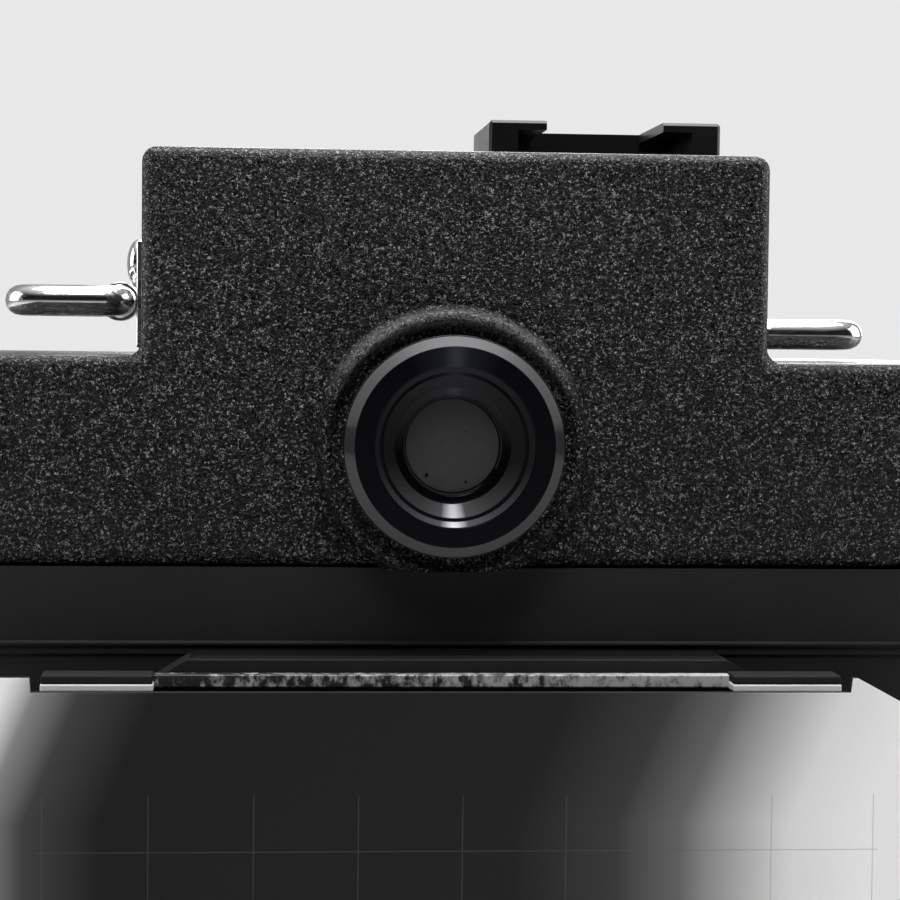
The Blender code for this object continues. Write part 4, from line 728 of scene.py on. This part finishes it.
def eyepiece_collar():
    """The raised crater cast round the eyepiece, soft on its outside."""
    outer = EYE.z - HOUSING_LOW.z
    proud = HOUSING_BACK - HOUSING_LOW.y
    foot = -0.06 * MM
    flare = 0.8 * MM
    slope = proud * 0.7          # where the outer slope ends and the crest starts
    crest = 0.6 * MM
    pocket = proud * 0.42        # depth of the seat round the ring
    sunk = -1.6 * MM
    profile = []
    for i in range(9):
        share = i / 8
        away = outer + flare * (1 - math.sin(math.radians(90) * share))
        profile.append((away, foot + (slope - foot) * share ** 1.6))
    for i in range(1, 9):
        angle = math.radians(180) * i / 8
        profile.append((outer - crest + crest * math.cos(angle), slope + crest * math.sin(angle)))
    seat = outer - 1.3 * MM
    profile += [
        (seat - 0.3 * MM, proud * 0.5), (seat - 0.9 * MM, pocket), (8 * MM, pocket), (8 * MM, sunk),
        (outer - 2 * MM, sunk), (outer - 1.2 * MM, foot),
    ]
    mesh = turned_mesh("eyepiece_collar", (EYE.x, HOUSING_BACK, EYE.z), "-Y", profile, 144)
    lowest = HOUSING_BOTTOM - 0.34 * MM
    for vertex in mesh.vertices:
        vertex.co.z = max(vertex.co.z, lowest)
    smooth(add("eyepiece_collar", mesh, COLLAR, "body"), 40)


def eyepiece_ring():
    """The turned ring: a chamfer outside, a flat face, and a cone that runs down to the glass."""
    radius = (RING_HIGH.x - RING_LOW.x) / 2
    face = RING_LOW.y
    glass = EYE_GLASS_RADIUS
    chamfer = 1.1 * MM
    mouth = radius * 0.717
    foot = radius * 0.527
    tail = radius * 0.638
    ledge = EYE_GLASS_LOW.y - face - 0.55 * MM
    behind = EYE_GLASS_HIGH.y - face + 0.15 * MM
    bottom = RING_HIGH.y - face - 0.2 * MM
    base = face - HOUSING_LOW.y + 4.6 * MM - GAP
    profile = [
        (radius - chamfer, 0), (radius, chamfer * 0.92), (radius, base), (tail, base),
        (tail, bottom), (glass - 0.6 * MM, bottom), (glass - 0.6 * MM, behind),
        (glass + 0.08 * MM, behind), (glass + 0.08 * MM, ledge + 0.5 * MM),
        (glass + 0.35 * MM, ledge + 0.12 * MM), (foot - 0.25 * MM, ledge),
    ]
    steps = 10
    for i in range(steps + 1):
        share = i / steps
        bow = 0.06 * MM * math.sin(math.pi * share)
        depth = ledge - 0.12 * MM - (ledge - 0.24 * MM) * share
        profile.append((foot + (mouth - foot) * share, depth + bow))
    profile.append((mouth + 0.06 * MM, 0))
    mesh = turned_mesh("eyepiece_ring_turned", (EYE.x, face, EYE.z), "Y", profile, 192)
    obj = add("eyepiece_ring_turned", mesh, RING_FACE, "body", "eyepiece_ring")
    mesh.materials.append(RING_CHAMFER)
    mesh.materials.append(RING_CONE)
    for polygon in mesh.polygons:
        away = math.hypot(polygon.center.x - EYE.x, polygon.center.z - EYE.z)
        depth = polygon.center.y - face
        if away > radius - chamfer and depth < chamfer:
            polygon.material_index = 1
        elif foot < away < mouth and 0.02 * MM < depth < ledge:
            polygon.material_index = 2
    rounded(smooth(obj, 22), 0.06 * MM, 2, 22)


def eyepiece_glass():
    radius = EYE_GLASS_RADIUS
    crown = 0.25 * MM
    top = EYE_GLASS_LOW.y + crown
    flat = top - EYE_GLASS_HIGH.y
    profile = [(0, crown), (radius * 0.5, crown * 0.96), (radius * 0.9, crown * 0.64), (radius, 0.05 * MM),
               (radius, flat), (0, flat)]
    turned("eyepiece_glass", (EYE.x, top, EYE.z), "-Y", profile, EYE_GLASS, "body",
           "eyepiece_lens")


def snap_ring():
    """The sprung wire that keeps the glass in, open at its lower right."""
    wire = 0.15 * MM
    opening = 26
    middle = -40
    reach = EYE_GLASS_RADIUS + 0.25 * MM
    count = 72
    points = []
    for i in range(count):
        angle = math.radians(middle + opening / 2 + (360 - opening) * i / (count - 1))
        across, up = reach * math.cos(angle), reach * math.sin(angle)
        points.append((EYE.x + across, EYE_GLASS_LOW.y - wire, EYE.z + up))
    tube("snap_ring", points, wire, MATTE, "body", "eyepiece_snap_ring")


def strap_loop(side, word):
    """A bent wire with wide corners outside and tight ones at its pivot; gives the pivot and the wire."""
    low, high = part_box("strap_loop_" + word)
    wire = (high.z - low.z) / 2
    level = (low.z + high.z) / 2
    middle = (low.y + high.y) / 2
    half = (high.y - low.y) / 2 - wire
    near, far = (low.x, high.x) if side > 0 else (high.x, low.x)
    near += side * wire
    far -= side * wire
    wide, tight = 3.4 * MM, 1.4 * MM
    points = []
    for end, across, corner, start in (
        (far, -1, wide, -90), (far, 1, wide, 0), (near, 1, tight, 90), (near, -1, tight, 180),
    ):
        inward = -side if end == far else side
        for step in range(9):
            angle = math.radians(start + 90 * step / 8)
            points.append((
                end + inward * corner + side * corner * math.cos(angle),
                middle + across * (half - corner) + corner * math.sin(angle),
                level,
            ))
    tube("loop_wire_" + word, points, wire, CHROME, "loop_" + word, "strap_loop_" + word,
         closed=True, sides=24)
    return Vector((near, middle, level)), wire


def strap_lug(side, word, pivot, wire):
    """The plate on the tower, the sleeve round the loop's wire, the web between them and a dome screw."""
    low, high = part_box("strap_lug_" + word)
    face = TOWER_HALF + GAP
    left, right = sorted((side * face, side * (face + 1.0 * MM)))
    block("lug_plate_" + word, (left, low.y, low.z), (right, high.y, high.z), CHROME, "body",
          0.3 * MM, "strap_lug_" + word)
    bore = wire + 0.12 * MM
    skin = bore + 0.34 * MM
    half = 2.2 * MM
    turned("lug_sleeve_" + word, pivot, "Y", [(bore, -half), (skin, -half), (skin, half), (bore, half)],
           CHROME, "body", steps=40, edge=0.1 * MM)
    left, right = sorted((side * (face + 0.8 * MM), pivot.x - side * (bore - 0.1 * MM)))
    web = Vector((0, 2.1 * MM, 0.9 * MM))
    low_edge, high_edge = pivot - web, pivot + web
    block("lug_web_" + word, (left, low_edge.y, low_edge.z), (right, high_edge.y, high_edge.z),
          CHROME, "body", 0.15 * MM)
    dome, rim, rise = 2.65 * MM, 0.4 * MM, 1.25 * MM
    profile = [(0, 0), (dome, 0)]
    for degrees in range(0, 90, 9):
        angle = math.radians(degrees)
        profile.append((dome * math.cos(angle), rim + rise * math.sin(angle)))
    profile.append((0, rim + rise))
    where = (side * (face + 0.6 * MM), pivot.y - 3.2 * MM, high.z - 2.4 * MM)
    turned("lug_screw_" + word, where, sideways(side), profile, CHROME, "body", steps=40)


def strap_fittings():
    for side, word in ((-1, "left"), (1, "right")):
        pivot, wire = strap_loop(side, word)
        strap_lug(side, word, pivot, wire)


# Back


def back_band():
    """The moulded strip under the finder housing, with a thin bead along its lower edge."""
    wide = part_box("back_frame")[1].x - GAP
    face = HOUSING_BACK + 0.08 * MM
    front = face + 0.9 * MM
    top = HOUSING_BOTTOM - 0.12 * MM
    bead = BACK_MIDDLE + BEAD
    radius = 0.30 * MM
    profile = [(front, top), (face, top)]
    for i in range(9):
        angle = math.radians(90 + 180 * i / 8)
        profile.append((face + 0.05 * MM + radius * math.cos(angle), bead + radius * math.sin(angle)))
    profile += [(face, bead - 1.0 * MM), (front, bead - 1.0 * MM)]
    mesh = plate_mesh("back_band", profile, -wide, wide, "X")
    smooth(add("back_band", mesh, MATTE, "body"), 40)


def slide_locks():
    """Worn bars with finger tabs, one above and one below the screen; each tab's face is black, a painted
    dark reflection, and its lip pale, a painted highlight.
    """
    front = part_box("slide_lock_top")[1].y
    bar_deep, tab_deep, tab_foot = 1.6 * MM, 4.15 * MM, 0.4 * MM
    bar_left, bar_right = 27.9 * MM, 28.2 * MM
    tuck = 1 * MM                # how far the bar runs in behind each tab
    tab_long = 10.6 * MM
    lip_grow = 0.12 * MM         # how far the lip stands out from the tab's face
    for sign, word in ((1, "top"), (-1, "bottom")):
        body = "lock_" + word
        shift = -1.8 * MM * sign
        left, right = shift - bar_left, shift + bar_right
        low, high = sorted((BACK_MIDDLE + sign * BAR_INNER, BACK_MIDDLE + sign * BAR_OUTER))
        block("lock_bar_" + word, (left - tuck, front - bar_deep, low), (right + tuck, front, high), WORN,
              body, 0.15 * MM, "slide_lock_" + word)
        rim = BACK_MIDDLE + sign * TAB_RIM
        for tab, start, end in (("left", left - tab_long, left), ("right", right, right + tab_long)):
            # Each tab's face is black, a painted dark reflection in place of chrome, and its lip pale, a
            # painted highlight.
            for part, first, last, finish, grow in (
                ("face", rim + sign * 0.64 * MM, BACK_MIDDLE + sign * TAB_TIP, MATTE, 0.0),
                ("lip", rim - sign * 0.12 * MM, rim + sign * 0.62 * MM, LIP_HIGHLIGHT, lip_grow),
            ):
                low, high = sorted((first, last))
                block(f"tab_{part}_{word}_{tab}", (start - grow / 2, front - tab_deep - grow / 3, low),
                      (end + grow / 2, front - tab_foot, high), finish, body, 0.17 * MM)


def screen():
    """The ground glass: two ears beside the upper tabs, its lower corners and one upper corner cut away."""
    rear = SCREEN_LOW.y - 0.4 * MM
    thick = 0.9 * MM
    left, right = -46.4 * MM, 45.2 * MM
    left_ear, right_ear = -41.2 * MM, 37.6 * MM      # where the ears end on their inner sides
    low, ear, top = SCREEN_LOW.z, SCREEN_TOP, BACK_MIDDLE + 45.3 * MM
    corner = 6.5 * MM
    outline = [
        (left, low + corner), (left + corner, low), (right - 6.6 * MM, low), (right, low + corner),
        (right, ear - 3.7 * MM), (right_ear + 0.7 * MM, ear), (right_ear + 0.15 * MM, ear),
        (right_ear, top), (left_ear + 0.1 * MM, top), (left_ear, ear), (left, ear),
    ]
    mesh = plate_mesh("focusing_screen", outline, rear - thick, rear)
    obj = add("focusing_screen", mesh, SCREEN, "glass_panel", "ground_glass")
    mesh.materials.append(MATTE)
    for polygon in mesh.polygons:
        polygon.material_index = 0 if abs(polygon.normal.y) > 0.5 else 1
    rounded(smooth(obj), 0.06 * MM, 2)


# Front


def speed_scale():
    """White marks every 10 degrees round the speed ring, long ones every 60, and three red dots."""
    low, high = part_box("speed_ring")
    front = high.y
    edge = LENS_AXIS + (high.x - low.x) / 2
    thin = 0.08 * MM
    ticks = []
    for i in range(36):
        tall = (2.4 if i % 6 == 0 else 1.3) * MM
        ticks.append(((0, front, edge - 1.5 * MM - tall / 2), (0.35 * MM, thin, tall), 10 * i))
    dots = [((0, front, edge - 5.0 * MM), (0.8 * MM, thin, 0.8 * MM), degrees) for degrees in (80, 100, 260)]
    for name, boxes, finish in (("speed_marks", ticks, WHITE_FILL), ("speed_dots", dots, RED_FILL)):
        shape = bmesh.new()
        for middle, size, degrees in boxes:
            turn = Matrix.Rotation(math.radians(degrees), 3, "Y")
            bmesh.ops.rotate(shape, cent=(0, 0, LENS_AXIS), matrix=turn, verts=put_box(shape, middle, size))
        add(name, from_shape(name, shape), finish, "speed_ring")


def board_screws():
    reach = BOARD_HIGH.x - 3.6 * MM
    for side in (-1, 1):
        for up in (-1, 1):
            name = f"board_screw_{'l' if side < 0 else 'r'}{'b' if up < 0 else 't'}"
            where = (side * reach, BOARD_HIGH.y, LENS_AXIS + up * reach)
            screw(name, where, "Y", 1.25 * MM, STEEL, "tilter", 0.5 + side * 0.7 + up)


def iris():
    """Seven overlapping blades behind the front lens."""
    low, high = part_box("front_lens")
    outer = (high.x - low.x) / 2 - 2.6 * MM
    inner = outer * 0.42
    blades = 7
    for i in range(blades):
        first = 2 * math.pi * i / blades
        rim = [(outer, first + math.radians(62) * k / 8) for k in range(9)]
        edge = [(inner, first + math.radians(62 - 60 * k / 4)) for k in range(5)]
        outline = [(away * math.cos(turn), LENS_AXIS + away * math.sin(turn)) for away, turn in rim + edge]
        depth = low.y - 1.0 * MM - 0.1 * MM * i
        add(f"iris_blade_{i}", plate_mesh("iris_blade", outline, depth - 0.05 * MM, depth), LENS_BLACK,
            "tilter")


def knob_caps():
    for word, side in (("left", -1), ("right", 1)):
        for node, body in (("focus_knob_", "focus_drive"), ("rise_knob_", "rise_knob_" + word)):
            low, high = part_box(node + word)
            centre = (low + high) / 2
            reach = (high.z - low.z) / 2
            end = high.x if side > 0 else low.x
            profile = [
                (0, -0.1 * MM), (reach * 0.52, -0.1 * MM), (reach * 0.52, 0.25 * MM),
                (reach * 0.46, 0.45 * MM), (reach * 0.2, 0.55 * MM), (0, 0.58 * MM),
            ]
            turned(node + "cap_" + word, (end, centre.y, centre.z), sideways(side), profile,
                   STEEL_UPRIGHT, body, steps=48)


def distance_scale():
    """Marks every 3 mm along the bed's right rail, every fifth one long."""
    low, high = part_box("bed_rail_right")
    middle = (low.x + high.x) / 2
    shape = bmesh.new()
    for i in range(23):
        wide = (3.2 if i % 5 == 0 else 1.8) * MM
        put_box(shape, (middle, low.y + 6 * MM + 3 * MM * i, high.z), (wide, 0.3 * MM, 0.06 * MM))
    add("distance_scale", from_shape("distance_scale", shape), ENAMEL, "bed")


# Bellows


def bellows_section(half_x, half_z, corner):
    """A rounded rectangle as (x, z) points, its top and bottom bowed outwards and its sides inwards."""
    ring = []
    for sign_x, sign_z, first in ((1, 1, 0), (-1, 1, 90), (-1, -1, 180), (1, -1, 270)):
        for step in range(4):
            angle = math.radians(first + 30 * step)
            ring.append((
                sign_x * (half_x - corner) + corner * math.cos(angle),
                sign_z * (half_z - corner) + corner * math.sin(angle),
            ))
    section = []
    for a, b in zip(ring, ring[1:] + ring[:1]):
        across, up = b[0] - a[0], b[1] - a[1]
        long_side = math.hypot(across, up) > 12 * MM
        parts = 8 if long_side else 1
        for k in range(parts):
            share = k / parts
            bow = BOW * math.sin(math.pi * share) if long_side else 0
            x, z = a[0] + across * share, a[1] + up * share
            if abs(across) > abs(up):
                z += math.copysign(bow, z)
            else:
                x -= math.copysign(bow, x)
            section.append((x, z))
    return section


def pleated(name, start, end, pleats):
    """A stretch of the tapering bellows between two depths."""
    low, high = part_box("bellows")
    rear_x, rear_z = high.x - 1.6 * MM, (high.z - low.z) / 2 - 1.6 * MM
    front = 25 * MM
    rows_each = 6
    count = pleats * rows_each
    shape = bmesh.new()
    rings = []
    for i in range(count + 1):
        y = start + (end - start) * i / count
        share = (y - low.y) / (high.y - low.y)
        phase = (i % rows_each) / rows_each
        wave = 1 - 2 * abs(2 * phase - 1)
        fold = math.copysign(abs(wave) ** 0.75, wave)
        section = bellows_section(
            rear_x + (front - rear_x) * share - FOLD * fold,
            rear_z + (front - rear_z) * share - FOLD * fold,
            (3.6 * MM + 1.9 * MM * fold) * (1 - 0.3 * share),
        )
        rings.append([shape.verts.new((x, y, BACK_MIDDLE + z)) for x, z in section])
    for first, second in zip(rings, rings[1:]):
        for i in range(len(first)):
            j = (i + 1) % len(first)
            shape.faces.new((first[i], first[j], second[j], second[i]))
    obj = smooth(add(name, from_shape(name, shape), CLOTH), 50)
    skin = obj.modifiers.new("skin", "SOLIDIFY")
    skin.thickness = 0.5 * MM
    skin.offset = -1
    return obj


def joined(name, start, end, pleats):
    """A pleated length, baked where it is built."""
    obj = pleated(name, start, end, pleats)
    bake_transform(obj)
    return obj


def bellows():
    """Five lengths: from the body to the bed, along the bed, and on to the riser, shifter and tilter."""
    low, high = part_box("bellows")
    bed_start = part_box("bed")[0].y
    bed_end = bed_start + BED_STRETCH
    each = (high.y - bed_end) / 3
    rear = joined("bellows_rear", low.y, bed_start, 6)
    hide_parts("bellows")
    middle = pleated("bellows_middle", bed_start, bed_end, 12)
    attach(middle, "bed")
    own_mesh(middle)
    clear = 0.08 * MM    # keeps the rise length off the bed length when the bed drops
    joined("bellows_rise", bed_end + clear, bed_end + each, 3)
    joined("bellows_shift", bed_end + each, bed_end + 2 * each, 3)
    joined("bellows_front", bed_end + 2 * each, high.y, 3)


# CAD nodes that stay in sight


def dress_nodes():
    by_finish = {
        MATTE: ("ground_glass_frame", "back_frame"),
        PLATE: ("revolving_frame",),
        ENAMEL: ("body_shell", "bed", "standard_carriage", "standard_frame", "riser_frame",
                 "shift_frame", "tilt_frame", "lens_board", "accessory_shoe"),
        LENS_BLACK: ("shutter_body", "front_lens_cell", "rear_lens_cell"),
        CHROME: ("bed_latch_button", "focus_lock_lever", "aperture_lever", "cocking_lever",
                 "release_lever", "rangefinder_mirror"),
        STEEL: ("tripod_plate", "bed_hinge", "bed_hinge_pin", "bed_rail_left", "bed_rail_right",
                "bed_foot", "strut_left", "strut_right", "focus_track", "focus_pinion",
                "rangefinder_chassis"),
        KNOB_ALLOY: ("focus_knob_left", "focus_knob_right", "rise_knob_left", "rise_knob_right"),
        LENS_ALLOY: ("speed_ring",),
        STEEL_UPRIGHT: ("frame_selector_dial",),
        BRASS: ("tripod_bush", "focus_rack"),
        LEATHER: ("covering_left", "covering_right"),
        WINDOW: ("beam_splitter_prism", "finder_objective", "rangefinder_window", "viewfinder_window"),
        COATED: ("front_lens", "rear_lens"),
    }
    for finish, names in by_finish.items():
        for name in names:
            obj = NODES[name]
            obj.data.materials.clear()
            obj.data.materials.append(finish)
            smooth(obj, 32)


# Stage


def stage():
    shape = bmesh.new()
    bmesh.ops.create_grid(shape, x_segments=2, y_segments=2, size=FLOOR_REACH)
    floor = bpy.data.objects.new("floor", from_shape("floor", shape))
    bpy.context.scene.collection.objects.link(floor)
    floor.data.materials.append(plain_floor())
    world = bpy.data.worlds.new("studio")
    bpy.context.scene.world = world
    world.use_nodes = True
    soft_room(world.node_tree)
    lamp("overhead", (0.05, 0.06, 0.66), (0, 0.0, 0.10), 0.55, 8.0)
    lamp("left_window", (-0.60, 0.15, 0.30), (0, 0, 0.10), 0.40, 1.6)
    lamp("right_window", (0.60, 0.20, 0.30), (0, 0, 0.10), 0.40, 1.6)
    lamp("front_window", (0.15, 0.75, 0.35), (0, 0.1, 0.08), 0.45, 3.2)
    lamp("rear_fill", (-0.10, -0.40, 0.75), (0, 0, 0.12), 0.22, 2.2)


def soft_room(tree):
    """A plain pale backdrop whose light comes mostly from above and beyond."""
    background = tree.nodes["Background"]
    place = tree.nodes.new("ShaderNodeTexCoord").outputs["Generated"]
    split = tree.nodes.new("ShaderNodeSeparateXYZ")
    tree.links.new(place, split.inputs[0])

    def step(output, low, high, dark, light):
        spread = tree.nodes.new("ShaderNodeMapRange")
        spread.interpolation_type = "SMOOTHSTEP"
        for socket, value in zip(("From Min", "From Max", "To Min", "To Max"), (low, high, dark, light)):
            spread.inputs[socket].default_value = value
        tree.links.new(output, spread.inputs["Value"])
        return spread.outputs["Result"]

    above = step(split.outputs["Z"], 0.45, 0.98, 0.015, 0.75)
    beyond = step(split.outputs["Y"], -0.1, 0.6, 0.0, 0.30)
    total = tree.nodes.new("ShaderNodeMath")
    tree.links.new(above, total.inputs[0])
    tree.links.new(beyond, total.inputs[1])
    paths = tree.nodes.new("ShaderNodeLightPath")
    pale = tree.nodes.new("ShaderNodeMix")
    pale.inputs[3].default_value = 0.81      # what the camera itself sees
    tree.links.new(total.outputs[0], pale.inputs[2])
    tree.links.new(paths.outputs["Is Camera Ray"], pale.inputs["Factor"])
    tree.links.new(pale.outputs[0], background.inputs["Color"])


def lamp(name, where, target, size, power):
    data = bpy.data.lights.new(name, "AREA")
    data.size = size
    data.energy = power
    obj = bpy.data.objects.new(name, data)
    bpy.context.scene.collection.objects.link(obj)
    obj.location = where
    direction = Vector(target) - Vector(where)
    obj.rotation_euler = direction.to_track_quat("-Z", "Y").to_euler()


def camera():
    data = bpy.data.cameras.new("view")
    data.sensor_width = SENSOR
    data.lens = SENSOR * VIEW_DISTANCE / VIEW_WIDTH
    data.clip_start = NEAREST
    obj = bpy.data.objects.new("view", data)
    bpy.context.scene.collection.objects.link(obj)
    turn = (
        Matrix.Rotation(math.radians(-YAW), 4, "Z")
        @ Matrix.Rotation(math.radians(90 - PITCH), 4, "X")
        @ Matrix.Rotation(math.radians(ROLL), 4, "Z")
    )
    aim = EYE + Vector((AIM_RIGHT, 0, AIM_UP))
    obj.matrix_world = Matrix.Translation(aim) @ turn @ Matrix.Translation((0, 0, VIEW_DISTANCE))
    bpy.context.scene.camera = obj
    bpy.context.scene.view_settings.view_transform = "Standard"


def main():
    camera()
    stage()
    dress_nodes()
    finder_housing()
    eyepiece_collar()
    eyepiece_ring()
    eyepiece_glass()
    snap_ring()
    strap_fittings()
    back_band()
    slide_locks()
    screen()
    speed_scale()
    board_screws()
    iris()
    knob_caps()
    distance_scale()
    bellows()


main()
